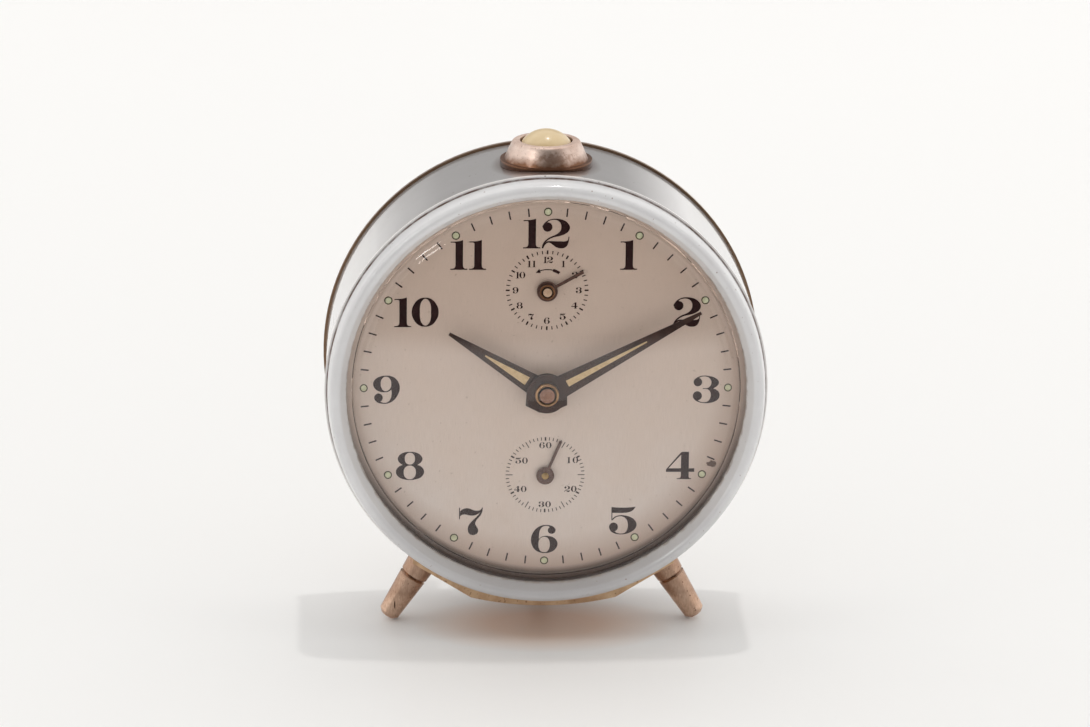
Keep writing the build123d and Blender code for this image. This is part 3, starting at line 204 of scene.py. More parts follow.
# in each finish a fade gives where it starts and ends, then the two values it runs between if not 0 and 1
def makeLacquer():  # pale grey lacquer of the drum
    finish = {
        "cloud": {
            "Scale": 0.09, "Amount": 0.5, "Fresh": colour(205, 202, 202), "Aged": colour(194, 190, 189)},
        "wear": {"Scale": 1.1, "Share": 0.745, "Strength": 1.0}, "wearTone": colour(146, 128, 120),
        "lowFade": (-35.0, -41.0), "lowScale": 0.12, "patchFade": (0.3, 0.5), "lowTone": colour(112, 76, 52),
        "collar": {"Middle": (0, 11.4, 0), "Squeeze": (1, 0.85, 0)}, "collarFade": (11.2, 9.0, 0.0, 0.75),
        "topFade": (38.0, 40.0), "grimeTone": colour(118, 88, 72),
        "bumps": {"scale": 0.5, "depth": 0.02, "detail": 2.0},
    }
    material, tree, shader, place = startMaterial("paleLacquer", {
        "Metallic": 0.6, "Roughness": 0.3, "Coat Weight": 1.0, "Coat Roughness": 0.04, "Coat IOR": 1.7})
    height = axisValue(tree, place, "Z")
    cloud = useGroup(tree, mottle, place, finish["cloud"])["Color"]
    worn = useGroup(tree, specks, place, finish["wear"])["Mask"]
    marked = mixColour(tree, worn, cloud, finish["wearTone"])
    # the lacquer has gone brown underneath
    patchy = fadeValue(tree, noiseValue(tree, place, finish["lowScale"]), *finish["patchFade"])
    bare = mathValue(tree, "MULTIPLY", fadeValue(tree, height, *finish["lowFade"]), patchy)
    browned = mixColour(tree, bare, marked, finish["lowTone"])
    # painted shadow and painted reflection round the foot of the button's collar: a dark line where it meets
    # the drum, and the collar's brown reflection
    near = fadeValue(tree, useGroup(tree, distance, place, finish["collar"])["Away"], *finish["collarFade"])
    grime = mathValue(tree, "MULTIPLY", near, fadeValue(tree, height, *finish["topFade"]))
    fillSockets(tree, shader, {
        "Base Color": mixColour(tree, grime, browned, finish["grimeTone"]),
        "Normal": unevenNormal(tree, place, **finish["bumps"])})
    return material


def makeBezelLacquer():  # the same lacquer on the bezel, worn brown along the groove before its lip
    finish = {
        "cloud": {
            "Scale": 0.12, "Amount": 0.6, "Fresh": colour(217, 217, 218), "Aged": colour(207, 206, 207)},
        "groove": {"Middle": (43.75, -1.85, 0), "Squeeze": (1, 0.4, 0)}, "grooveFade": (0.3, 0.08),
        "breaks": {"scale": 0.4, "detail": 5.0, "roughness": 0.65}, "breakFade": (0.32, 0.6, 0.25, 1.0),
        "grooveTone": colour(112, 84, 70), "lipHighlightFade": (44.0, 44.15), "lipHighlightTone": colour(238, 235, 233),
        "lowFade": (-20.0, -42.0, 0.0, 0.6), "lowTone": colour(172, 168, 168),
        "rimRadius": 39.95, "rimFade": (0.3, 0.0), "rimTone": colour(166, 156, 152),
        "patches": {"scale": 0.6, "detail": 5.0, "roughness": 0.65}, "patchFade": (0.43, 0.57),
        "pits": {"Scale": 1.5, "Share": 0.74, "Strength": 1.0}, "pitTone": colour(150, 134, 126),
        "bumps": {"scale": 1.2, "depth": 0.02},
    }
    material, tree, shader, place = startMaterial("bezelLacquer", {
        "Roughness": 0.3, "Coat Weight": 0.5, "Coat Roughness": 0.1})
    cloud = useGroup(tree, mottle, place, finish["cloud"])["Color"]
    away = useGroup(tree, distance, place, {"Squeeze": roundAxis})["Away"]
    section = addNode(tree, "ShaderNodeCombineXYZ", {"X": away, "Y": axisValue(tree, place, "Y")})[0]
    line = fadeValue(tree, useGroup(tree, distance, section, finish["groove"])["Away"], *finish["grooveFade"])
    broken = fadeValue(tree, noiseValue(tree, place, **finish["breaks"]), *finish["breakFade"])
    rusty = mixColour(tree, mathValue(tree, "MULTIPLY", line, broken), cloud, finish["grooveTone"])
    # painted highlight: the outer lip is lighter than the rest of the lacquer
    lip = mixColour(tree, fadeValue(tree, away, *finish["lipHighlightFade"]), rusty, finish["lipHighlightTone"])
    # painted shade: darker towards the bottom of the bezel
    low = fadeValue(tree, axisValue(tree, place, "Z"), *finish["lowFade"])
    shaded = mixColour(tree, low, lip, finish["lowTone"], "MULTIPLY")
    # dull patches along the inner rim
    off = mathValue(tree, "ABSOLUTE", mathValue(tree, "SUBTRACT", away, finish["rimRadius"]))
    patchy = fadeValue(tree, noiseValue(tree, place, **finish["patches"]), *finish["patchFade"])
    dull = mathValue(tree, "MULTIPLY", fadeValue(tree, off, *finish["rimFade"]), patchy)
    dulled = mixColour(tree, dull, shaded, finish["rimTone"])
    pits = useGroup(tree, specks, place, finish["pits"])["Mask"]
    fillSockets(tree, shader, {
        "Base Color": mixColour(tree, pits, dulled, finish["pitTone"]),
        "Normal": unevenNormal(tree, place, **finish["bumps"])})
    return material


def makeGlass():  # thin clear dome: it hardly bends the view, and its coat gives the reflections
    finish = {"through": (0.96, 0.96, 0.95, 1), "hazeScale": 0.12, "hazeDetail": 4.0,
              "hazeFade": (0.4, 0.8, 0.0, 0.02)}
    material, tree, shader, place = startMaterial("crystalGlass", {
        "Base Color": (0.99, 0.99, 0.985, 1), "IOR": 1.04, "Transmission Weight": 1.0,
        "Coat Weight": 0.82, "Coat Roughness": 0.01, "Coat IOR": 1.5})
    haze = noiseValue(tree, place, finish["hazeScale"], finish["hazeDetail"])
    fillSockets(tree, shader, {"Roughness": fadeValue(tree, haze, *finish["hazeFade"])})
    # scattered light and shadows pass straight through
    clear = addNode(tree, "ShaderNodeBsdfTransparent", {"Color": finish["through"]})[0]
    path = tree.nodes.new("ShaderNodeLightPath").outputs
    inside = mixShader(tree, path["Is Diffuse Ray"], shader.outputs[0], clear)
    mixed = mixShader(tree, path["Is Shadow Ray"], inside, clear)
    fillSockets(tree, tree.get_output_node("ALL"), {"Surface": mixed})
    return material


def makeDialSilver():
    finish = {
        "toneFade": (-25.0, 25.0), "lowTone": colour(224, 210, 203), "highTone": colour(208, 183, 168),
        "cloud": {"Scale": 0.05, "Amount": 0.5, "Aged": colour(218, 196, 182)},
        "aside": {"Middle": (-1.5, 0, 4.0), "Squeeze": roundAxis}, "asideFade": (35.5, 42.5, 0.0, 0.6),
        "asideShadeTone": colour(174, 136, 114),
        "rim": {"Middle": (0, 0, 1.5), "Squeeze": roundAxis}, "rimFade": (39.3, 40.7, 0.0, 0.9),
        "rimTone": colour(78, 56, 48),
        "dust": {"Scale": 1.3, "Share": 0.70, "Strength": 0.35}, "dustTone": colour(144, 116, 100),
        "lines": {"Stretch": (9.0, 1.0, 0.35)}, "lineFade": (0.35, 0.7, 0.0, 0.22),
        "lineTone": colour(172, 152, 138), "lineDepth": 0.01,
        "stain": {"Middle": (33.6, 0, -16.1), "Squeeze": (0.9, 0, 1.3), "Scale": 1.6, "Rough": 0.4},
        "stainFade": (1.0, 0.75, 0.0, 0.95), "stainTone": colour(86, 50, 32),
    }
    material, tree, shader, place = startMaterial("dialSilver", {"Metallic": 0.15, "Roughness": 0.5})
    # painted shade: darker and browner towards the top of the dial, lighter towards the bottom
    high = fadeValue(tree, axisValue(tree, place, "Z"), *finish["toneFade"])
    tone = mixColour(tree, high, finish["lowTone"], finish["highTone"])
    cloud = useGroup(tree, mottle, place, {**finish["cloud"], "Fresh": tone})["Color"]
    # painted shade: browner towards the edge, most at the lower right, and a painted shadow of the bezel as a
    # dark rim that is widest at the bottom
    aside = fadeValue(tree, useGroup(tree, distance, place, finish["aside"])["Away"], *finish["asideFade"])
    rim = fadeValue(tree, useGroup(tree, distance, place, finish["rim"])["Away"], *finish["rimFade"])
    edged = mixColour(tree, aside, cloud, finish["asideShadeTone"])
    rimmed = mixColour(tree, rim, edged, finish["rimTone"])
    dust = useGroup(tree, specks, place, finish["dust"])["Mask"]
    dusty = mixColour(tree, dust, rimmed, finish["dustTone"])
    lines = useGroup(tree, grain, place, finish["lines"])["Value"]
    fine = mixColour(tree, fadeValue(tree, lines, *finish["lineFade"]), dusty, finish["lineTone"])
    # one brown stain by the four
    stain = fadeValue(tree, useGroup(tree, distance, place, finish["stain"])["Away"], *finish["stainFade"])
    fillSockets(tree, shader, {
        "Base Color": mixColour(tree, stain, fine, finish["stainTone"]),
        "Normal": bumpNormal(tree, lines, finish["lineDepth"])})
    return material


def makeDarkRing():
    # painted shade: the ring between crystal and dial is made dark brown to stand for the shade in the recess
    cloud = {"Scale": 0.3, "Amount": 0.8, "Fresh": colour(84, 64, 54), "Aged": colour(62, 45, 38)}
    material, tree, shader, place = startMaterial("darkRing", {"Roughness": 0.5})
    fillSockets(tree, shader, {"Base Color": useGroup(tree, mottle, place, cloud)["Color"]})
    return material


def makePaint(name, finish, fresh, aged):  # ink, paint, lume, rubber; worn spots if the finish has them
    material, tree, shader, place = startMaterial(name, finish["shine"])
    painted = useGroup(tree, mottle, place, {**finish["cloud"], "Fresh": fresh, "Aged": aged})["Color"]
    if "wear" in finish:
        worn = useGroup(tree, specks, place, finish["wear"])["Mask"]
        painted = mixColour(tree, worn, painted, finish["wearTone"])
    fillSockets(tree, shader, {
        "Base Color": painted, "Normal": unevenNormal(tree, place, **finish["bumps"])})
    return material


def makeIvory():
    finish = {
        "cloud": {
            "Scale": 0.35, "Amount": 0.6, "Fresh": colour(220, 197, 155), "Aged": colour(210, 185, 140)},
        "lowFade": (48.6, 46.6), "lowTone": colour(190, 156, 114), "bumps": {"scale": 1.2, "depth": 0.02},
    }
    material, tree, shader, place = startMaterial("ivory", {
        "Roughness": 0.3, "Coat Weight": 0.3, "Coat Roughness": 0.1})
    cloud = useGroup(tree, mottle, place, finish["cloud"])["Color"]
    low = fadeValue(tree, axisValue(tree, place, "Z"), *finish["lowFade"])
    fillSockets(tree, shader, {
        "Base Color": mixColour(tree, low, cloud, finish["lowTone"]),
        "Normal": unevenNormal(tree, place, **finish["bumps"])})
    return material


def makeMetal(name, fresh, aged, worn, rough):
    finish = {
        "cloud": {"Scale": 0.3, "Amount": 0.9, "Fresh": fresh, "Aged": aged}, "agedRough": 0.12,
        "spots": {"Scale": 1.6, "Share": 0.68, "Strength": 0.7},
        "lines": {"Stretch": (0.6, 2.5, 0.6)}, "lineFade": (0.3, 0.7, rough - 0.08, rough + 0.1),
        "lineDepth": 0.012,
    }
    material, tree, shader, place = startMaterial(name, {"Metallic": 1.0})
    cloud = useGroup(tree, mottle, place, finish["cloud"])
    spots = useGroup(tree, specks, place, finish["spots"])["Mask"]
    lines = useGroup(tree, grain, place, finish["lines"])["Value"]
    dulled = mathValue(tree, "MULTIPLY", cloud["Mask"], finish["agedRough"])
    fillSockets(tree, shader, {
        "Base Color": mixColour(tree, spots, cloud["Color"], worn),
        "Roughness": mathValue(tree, "ADD", fadeValue(tree, lines, *finish["lineFade"]), dulled),
        "Normal": bumpNormal(tree, lines, finish["lineDepth"])})
    return material


def makeCollarMetal():  # satin nickel, worn through to brown low down, with a painted shadow at its foot
    finish = {
        "cloud": {
            "Scale": 0.25, "Amount": 0.8, "Fresh": colour(224, 204, 192), "Aged": colour(196, 170, 156)},
        "waveScale": 0.5, "waveFade": (0.3, 0.7, -0.5, 0.5),
        "wearFade": (46.2, 44.7), "wearTone": colour(122, 88, 68),
        "footShadeFade": (44.3, 44.1), "footShadeTone": colour(74, 52, 42),
        "bare": {"Middle": (1.4, 0, 46.2), "Squeeze": (1 / 3.2, 0, 1 / 1.1), "Scale": 1.1, "Rough": 0.45},
        "bareFade": (1.25, 0.5, 0.0, 0.7), "bareTone": colour(136, 104, 86),
        "spots": {"Scale": 3.4, "Share": 0.66, "Strength": 0.6}, "spotTone": colour(120, 90, 74),
        "lines": {"Stretch": (0.5, 0.5, 6.0)}, "lineDepth": 0.012, "roughFade": (47.5, 48.1, 0.38, 0.6),
    }
    material, tree, shader, place = startMaterial("satinCollar", {"Metallic": 1.0})
    height = axisValue(tree, place, "Z")
    cloud = useGroup(tree, mottle, place, finish["cloud"])["Color"]
    wave = fadeValue(tree, noiseValue(tree, place, finish["waveScale"]), *finish["waveFade"])
    uneven = mathValue(tree, "ADD", height, wave)
    worn = mixColour(tree, fadeValue(tree, uneven, *finish["wearFade"]), cloud, finish["wearTone"])
    # painted shadow: the foot is dark brown where it meets the drum
    dark = mixColour(tree, fadeValue(tree, height, *finish["footShadeFade"]), worn, finish["footShadeTone"])
    # a bare brown place in front, right of the middle
    bare = fadeValue(tree, useGroup(tree, distance, place, finish["bare"])["Away"], *finish["bareFade"])
    patched = mixColour(tree, bare, dark, finish["bareTone"])
    spots = useGroup(tree, specks, place, finish["spots"])["Mask"]
    lines = useGroup(tree, grain, place, finish["lines"])["Value"]
    fillSockets(tree, shader, {
        "Base Color": mixColour(tree, spots, patched, finish["spotTone"]),
        "Roughness": fadeValue(tree, height, *finish["roughFade"]),
        "Normal": bumpNormal(tree, lines, finish["lineDepth"])})
    return material


def makeLegMetal():  # plating gone coppery, finely drawn and dark above the groove
    finish = {
        "cloud": {
            "Scale": 0.22, "Amount": 0.8, "Fresh": colour(214, 184, 162), "Aged": colour(190, 154, 130)},
        "streaks": {"Stretch": (3.0, 3.0, 0.9)}, "streakFade": (0.4, 0.7, 0.0, 0.35),
        "streakTone": colour(130, 94, 72), "streakDepth": 0.008, "roughFade": (0.3, 0.7, 0.26, 0.4),
        "aboveFade": (-47.2, -45.6, 0.0, 0.4), "aboveTone": colour(116, 82, 62),
        "spots": {"Scale": 1.8, "Share": 0.71, "Strength": 1.0}, "spotTone": colour(104, 72, 56),
        "scratch": {"Middle": (-30.1, 5.6, -48.0), "Squeeze": (7.0, 0.5, 1.15)},
        "scratchFade": (1.1, 0.8), "scratchTone": colour(70, 46, 36),
    }
    material, tree, shader, place = startMaterial("copperLeg", {"Metallic": 1.0})
    cloud = useGroup(tree, mottle, place, finish["cloud"])["Color"]
    streaks = useGroup(tree, grain, place, finish["streaks"])["Value"]
    drawn = mixColour(tree, fadeValue(tree, streaks, *finish["streakFade"]), cloud, finish["streakTone"])
    high = fadeValue(tree, axisValue(tree, place, "Z"), *finish["aboveFade"])
    above = mixColour(tree, high, drawn, finish["aboveTone"])
    spots = useGroup(tree, specks, place, finish["spots"])["Mask"]
    spotted = mixColour(tree, spots, above, finish["spotTone"])
    # one short scratch low on the left leg
    far = useGroup(tree, distance, place, finish["scratch"])["Away"]
    scratch = fadeValue(tree, far, *finish["scratchFade"])
    fillSockets(tree, shader, {
        "Base Color": mixColour(tree, scratch, spotted, finish["scratchTone"]),
        "Roughness": fadeValue(tree, streaks, *finish["roughFade"]),
        "Normal": bumpNormal(tree, streaks, finish["streakDepth"])})
    return material


def makeCoverMetal():  # brown lacquered steel, with a painted highlight as a paler line round its lip
    finish = {
        "cloud": {
            "Scale": 0.07, "Amount": 0.8, "Fresh": colour(150, 124, 102), "Aged": colour(128, 102, 82)},
        "spots": {"Scale": 1.2, "Share": 0.74, "Strength": 1.0}, "spotTone": colour(86, 64, 52),
        "lineDepth": 26.62, "lineFade": (0.14, 0.07), "lipHighlightFade": (44.3, 44.4),
        "lineTone": colour(214, 200, 190), "bumps": {"scale": 1.0, "depth": 0.02},
    }
    material, tree, shader, place = startMaterial("bronzeCover", {"Metallic": 1.0, "Roughness": 0.42})
    cloud = useGroup(tree, mottle, place, finish["cloud"])["Color"]
    spots = useGroup(tree, specks, place, finish["spots"])["Mask"]
    spotted = mixColour(tree, spots, cloud, finish["spotTone"])
    away = useGroup(tree, distance, place, {"Squeeze": roundAxis})["Away"]
    # painted highlight: a pale line round the lip of the cover
    behind = mathValue(tree, "SUBTRACT", axisValue(tree, place, "Y"), finish["lineDepth"])
    line = fadeValue(tree, mathValue(tree, "ABSOLUTE", behind), *finish["lineFade"])
    lipHighlight = mathValue(tree, "MULTIPLY", line, fadeValue(tree, away, *finish["lipHighlightFade"]))
    fillSockets(tree, shader, {
        "Base Color": mixColour(tree, lipHighlight, spotted, finish["lineTone"]),
        "Normal": unevenNormal(tree, place, **finish["bumps"])})
    return material


def makeTip(name, middle, edge, face, side):  # the end of a turned pin, dark round its edge
    finish = {
        "cloud": {"Scale": 1.2, "Amount": 0.7, "Fresh": face, "Aged": side},
        "round": {"Middle": (middle[0], 0, middle[1]), "Squeeze": roundAxis},
        "edgeFade": (edge - 0.06, edge + 0.02), "edgeTone": colour(62, 44, 36),
        "bumps": {"scale": 3.0, "depth": 0.01},
    }
    material, tree, shader, place = startMaterial(name, {"Metallic": 1.0, "Roughness": 0.42})
    cloud = useGroup(tree, mottle, place, finish["cloud"])["Color"]
    dark = fadeValue(tree, useGroup(tree, distance, place, finish["round"])["Away"], *finish["edgeFade"])
    fillSockets(tree, shader, {
        "Base Color": mixColour(tree, dark, cloud, finish["edgeTone"]),
        "Normal": unevenNormal(tree, place, **finish["bumps"])})
    return material


inkFinish = {
    "shine": {"Roughness": 0.42, "Specular IOR Level": 0.15},
    "cloud": {"Scale": 0.5, "Amount": 0.5}, "bumps": {"scale": 3.0, "depth": 0.01},
}
lumeFinish = {
    "shine": {"Roughness": 0.75},
    "cloud": {"Scale": 0.9, "Amount": 1.0}, "bumps": {"scale": 4.0, "depth": 0.03},
}
handFinish = {
    "shine": {"Metallic": 0.4, "Roughness": 0.38},
    "cloud": {"Scale": 0.4, "Amount": 0.8}, "bumps": {"scale": 1.5, "depth": 0.01},
    "wear": {"Scale": 2.2, "Share": 0.72, "Strength": 1.0}, "wearTone": colour(96, 78, 68),
}
paints = {  # finish, then the fresh and aged colours
    "dialInk": (inkFinish, colour(40, 14, 15), colour(56, 28, 27)),
    "coverInk": (inkFinish, colour(58, 40, 32), colour(74, 54, 44)),
    "dotEdge": (inkFinish, colour(62, 56, 30), colour(82, 72, 44)),
    "footRubber": (inkFinish, colour(48, 44, 42), colour(66, 60, 56)),
    "handPaint": (handFinish, colour(51, 28, 22), colour(72, 45, 36)),
    "smallHandPaint": (handFinish, colour(84, 57, 48), colour(104, 74, 64)),
    "dotLume": (lumeFinish, colour(214, 214, 182), colour(190, 188, 152)),
    "handLume": (lumeFinish, colour(212, 184, 143), colour(190, 160, 118)),
}
metals = {  # fresh, aged and worn colours, then the roughness
    "wornNickel": (colour(222, 204, 190), colour(190, 160, 140), colour(120, 86, 68), 0.3),
    "brass": (colour(206, 176, 122), colour(170, 132, 80), colour(110, 82, 50), 0.3),
    "saddleBrass": (colour(206, 176, 144), colour(180, 146, 114), colour(128, 96, 70), 0.3),
    "hubCopper": (colour(196, 154, 112), colour(158, 116, 80), colour(96, 66, 48), 0.3),
    "bushCopper": (colour(166, 122, 92), colour(130, 92, 68), colour(84, 58, 44), 0.32),
    "steel": (colour(176, 174, 172), colour(150, 146, 142), colour(110, 96, 86), 0.3),
    "nickel": (colour(208, 202, 192), colour(180, 170, 156), colour(126, 106, 90), 0.26),
}
tips = {  # middle, radius of the dark edge, then the colours of the face
    "centreTip": ((0, 0), 1.5, colour(176, 134, 114), colour(138, 102, 86)),
    "alarmTip": (smallDials["alarm"], 0.9, colour(236, 204, 176), colour(206, 168, 138)),
}
surfaces = {
    "paleLacquer": makeLacquer(),
    "bezelLacquer": makeBezelLacquer(),
    "crystalGlass": makeGlass(),
    "dialSilver": makeDialSilver(),
    "darkRing": makeDarkRing(),
    "ivory": makeIvory(),
    "satinCollar": makeCollarMetal(),
    "copperLeg": makeLegMetal(),
    "bronzeCover": makeCoverMetal(),
    **{name: makePaint(name, *look) for name, look in paints.items()},
    **{name: makeMetal(name, *look) for name, look in metals.items()},
    **{name: makeTip(name, *look) for name, look in tips.items()},
}
slotSurfaces = {
    "white_lacquer": "paleLacquer", "bronze_lacquer": "bronzeCover", "clear": "crystalGlass",
    "dark_ring": "darkRing", "dial_silver": "dialSilver", "worn_nickel": "wornNickel", "brass": "brass",
    "ivory": "ivory", "blued_hand": "handPaint", "lume": "handLume", "steel": "steel", "nickel": "nickel",
    "foot_rubber": "footRubber",
}
nodeSurfaces = {  # pieces that look different from the rest of their slot
    "bezel": "bezelLacquer", "left_leg": "copperLeg", "right_leg": "copperLeg", "leg_saddle": "saddleBrass",
    "button_collar": "satinCollar", "centre_wheel": "centreTip", "alarm_arbor": "alarmTip",
    "alarm_hand": "smallHandPaint", "seconds_hand": "smallHandPaint",
}
for part in frame["record"]["subparts"]:
    surface = surfaces[nodeSurfaces.get(part["node"], slotSurfaces[part["material_slot"]])]
    for slot in nodes[part["node"]].material_slots:
        slot.material = surface
print("surfaces on", len(nodes), "CAD nodes")

digitShapes = {  # outlines in millimetres round each digit's middle; c marks a corner, | starts a hole
    "0": [
        "-2.69,0 -2.14,1.78 -1.14,2.76 0,3.01 1.14,2.76 2.14,1.78 2.69,0 2.14,-1.78 1.14,-2.76 0,-3.01 "
        "-1.14,-2.76 -2.14,-1.78|0.06,2.78 -0.6,2.34 -0.98,1.38 -1.04,0 -0.98,-1.38 -0.6,-2.34 0.06,-2.78 "
        "0.72,-2.34 1.1,-1.38 1.16,0 1.1,1.38 0.72,2.34",
    ],
    "1": [
        "-1.66,2.77c -0.56,2.79 0.14,2.87 0.83,3.08c 0.83,-2.14c 0.94,-2.6 1.24,-2.81 1.7,-2.85c "
        "1.7,-3.08c -1.7,-3.08c -1.7,-2.85c -1.1,-2.81 -0.78,-2.6 -0.66,-2.14c -0.66,2.06c -0.72,2.43 "
        "-0.96,2.54 -1.66,2.54c",
    ],
    "2": [
        "-2.62,1.23 -2.38,1.99 -1.84,2.55 -1.18,2.9 -0.18,3.07 0.82,2.97 1.66,2.68 2.34,2.15 2.78,1.29 "
        "2.52,0.46 1.9,-0.08 0.82,-0.52 -0.1,-0.73 -1.02,-1.04 -1.68,-1.48 -2.18,-2.01c -1.74,-1.65 "
        "-1.14,-1.57 -0.18,-1.61 0.82,-1.62 1.98,-1.59 2.38,-1.34 2.48,-0.69c 2.68,-0.67c 2.62,-1.38 "
        "2.5,-1.92 2.22,-2.55 1.74,-2.95 0.9,-3.07 0.07,-2.84 -0.52,-2.42 -1.02,-2.03 -1.46,-1.88 "
        "-1.98,-2.19 -2.3,-2.63 -2.46,-3.07c -2.78,-3.07c -2.66,-2.37 -2.34,-1.76 -1.76,-1.15 -0.93,-0.65 "
        "-0.1,-0.29 0.57,0.15 0.94,0.67 1.06,1.38 0.9,2.07 0.46,2.55 -0.18,2.78 -0.84,2.74 -1.34,2.59 "
        "-1.82,2.19 -2.06,1.65c",
        "-2.62,1.32 -1.66,2.28 -0.7,1.32 -1.66,0.36",
    ],
    "3": [
        "-2.53,1.47 -2.27,2.1 -1.65,2.62 -0.61,2.89 0.55,2.79 1.65,2.46 2.35,1.89 2.51,1.35 2.19,0.76 "
        "1.41,0.2c 2.01,-0.07 2.53,-0.57 2.69,-1.26 2.41,-2.04 1.65,-2.58 0.65,-2.85 -0.45,-2.89 "
        "-1.55,-2.64 -2.35,-2.1 -2.61,-1.49c -2.01,-1.95c -1.39,-2.46 -0.49,-2.69 0.31,-2.5 0.79,-1.87 "
        "0.93,-1.16 0.75,-0.43 0.27,0.01 -0.69,0.09c -0.69,0.26c 0.23,0.3 0.75,0.68 1.01,1.39 0.79,2.14 "
        "0.21,2.6 -0.55,2.71 -1.25,2.54 -1.81,2.14c -2.05,1.47c",
        "-2.57,1.54 -1.71,2.43 -0.85,1.54 -1.71,0.64",
        "-2.69,-1.35 -1.77,-0.39 -0.85,-1.35 -1.77,-2.31",
    ],
    "4": [
        "-2.86,-0.85c -0.1,2.5 0.22,2.81 0.66,2.89c 1.74,2.89c 1.74,-0.6c 2.86,-0.6c 2.86,-1.35c "
        "1.74,-1.35c 1.74,-2.35c 1.86,-2.62 2.26,-2.71c 2.26,-2.89c -0.64,-2.89c -0.64,-2.71c -0.02,-2.62 "
        "0.16,-2.35c 0.16,-1.35c -2.86,-1.35c|-2.36,-0.6c 0.16,-0.6c 0.16,2.27c",
    ],
    "5": [
        "-2.34,2.88c -1.36,2.78 0.04,2.74 1.44,2.8 2.56,2.93c 1.96,2.17 1.18,1.78 0.12,1.65 -2.14,1.65c "
        "-2.14,0.38c -2.33,0.04c",
        "-2.28,0.08c -1.92,0.61 -1.32,0.98 -0.42,1.15 0.46,1.07 1.54,0.73 2.36,0.13 2.78,-0.84 2.4,-1.84 "
        "1.54,-2.49 0.46,-2.86 -0.78,-2.93 -1.86,-2.65 -2.52,-2.11 -2.68,-1.46c -1.88,-2.09c -1.14,-2.63 "
        "-0.28,-2.76 0.51,-2.51 0.96,-1.65 1,-0.63 0.71,0.25 0.12,0.77 -0.72,0.9 -1.52,0.63 -2.1,0.04c",
        "-2.78,-1.36 -1.88,-0.42 -0.98,-1.36 -1.88,-2.3",
    ],
    "6": [
        "2.23,1.81 2.03,2.39 1.25,2.87 0.29,3 -0.65,2.85 -1.55,2.31 -2.33,1.31 -2.69,-0.07 -2.41,-1.47 "
        "-1.65,-2.46 -0.65,-2.92 0.25,-3 1.15,-2.85 2.11,-2.29 2.69,-1.12 2.41,-0.22 1.75,0.37 0.91,0.62 "
        "0.15,0.66 -0.59,0.45 -1.07,0.01c -1.07,0.91 -0.85,1.97 -0.39,2.58 0.29,2.79 0.91,2.66 1.35,2.23c "
        "1.75,1.77c|-1.17,-1.08 -0.97,-0.09 -0.45,0.37 0.19,0.45 0.79,0.09 1.13,-1.06 0.95,-2.12 "
        "0.51,-2.69 -0.01,-2.81 -0.61,-2.64 -1.03,-2.04",
        "0.69,1.85 1.47,2.6 2.25,1.85 1.47,1.1",
    ],
    "7": [
        "-2.4,2.86c -2.2,2.86c -2.2,2.07c -1.68,2.53 -0.8,2.76 -0.18,2.65 0.52,2.34 1.34,2.24 1.9,2.4 "
        "2.24,2.93c 2.4,2.86c 2.28,2.03 1.96,1.27 1.44,0.63 1.02,0.02 0.88,-0.59 1.16,-1.15 1.48,-1.86 "
        "1.3,-2.53 0.8,-2.88 0.27,-2.93 -0.32,-2.64 -0.6,-1.99 -0.54,-1.15 -0.22,-0.52 0.32,0.13 "
        "0.98,0.77 1.54,1.42 1.82,1.86c 1.34,1.5 0.62,1.23 -0.26,1.23 -1.16,1.44 -1.78,1.36 -2.2,1.02c "
        "-2.2,0.44c -2.4,0.44c",
    ],
    "8": [
        "-0.05,2.97 -1.45,2.74 -2.23,2.13 -2.46,1.46 -2.17,0.77 -1.47,0.23c -2.29,-0.19 -2.83,-1.19 "
        "-2.35,-2.26 -1.31,-2.8 -0.05,-2.97 1.27,-2.8 2.35,-2.26 2.83,-1.19 2.31,-0.19 1.49,0.23c "
        "2.19,0.77 2.49,1.46 2.23,2.13 1.43,2.74|-0.05,2.78 -0.79,2.42 -1.05,1.5 -0.77,0.61 -0.05,0.29 "
        "0.71,0.61 0.99,1.5 0.71,2.42|-0.05,0.08 -0.93,-0.29 -1.27,-1.27 -0.93,-2.42 -0.05,-2.82 "
        "0.83,-2.42 1.17,-1.27 0.85,-0.29",
    ],
    "9": [
        "-0.01,2.95 -1.23,2.76 -2.23,2.17 -2.67,1.21 -2.29,0.23 -1.39,-0.38 -0.39,-0.54 0.41,-0.4 0.99,0c "
        "1.03,-0.92 0.79,-1.96 0.23,-2.59 -0.55,-2.74 -1.37,-2.47c -1.77,-1.86c -2.29,-1.88c -2.09,-2.42 "
        "-1.49,-2.8 -0.59,-2.95 0.41,-2.84 1.41,-2.26 2.23,-1.17 2.67,0.33 2.43,1.48 1.71,2.42 "
        "0.91,2.84|-0.09,2.72 -0.85,2.32 -1.15,1.25 -0.91,0.23 -0.37,-0.29 0.21,-0.23 0.77,0.29 0.97,1.25 "
        "0.71,2.22",
        "-2.45,-1.69 -1.59,-0.79 -0.73,-1.69 -1.59,-2.59",
    ],
}
hourNumerals = [
    ("1", -3.19, 32.03),
    ("2", 1.6, 32.03),
    ("1", 16.15, 27.61),
    ("2", 27.92, 15.78),
    ("3", 32.13, -0.38),
    ("4", 27.19, -16.4),
    ("5", 15.82, -28.06),
    ("6", -0.01, -31.94),
    ("7", -14.86, -28.11),
    ("8", -27.16, -16.36),
    ("9", -31.92, -0.33),
    ("1", -28.72, 15.78),
    ("0", -24.25, 15.8),
    ("1", -17.62, 27.63),
    ("1", -13.89, 27.63),
]
drawnHeight = 6.0  # of the outlines above, near enough
ink = {"thick": 0.02, "lift": 0.02, "layer": 0.002, "curveSteps": 5}
standUp = Matrix.Rotation(math.radians(90), 4, "X")  # drawing plane to the dial's plane


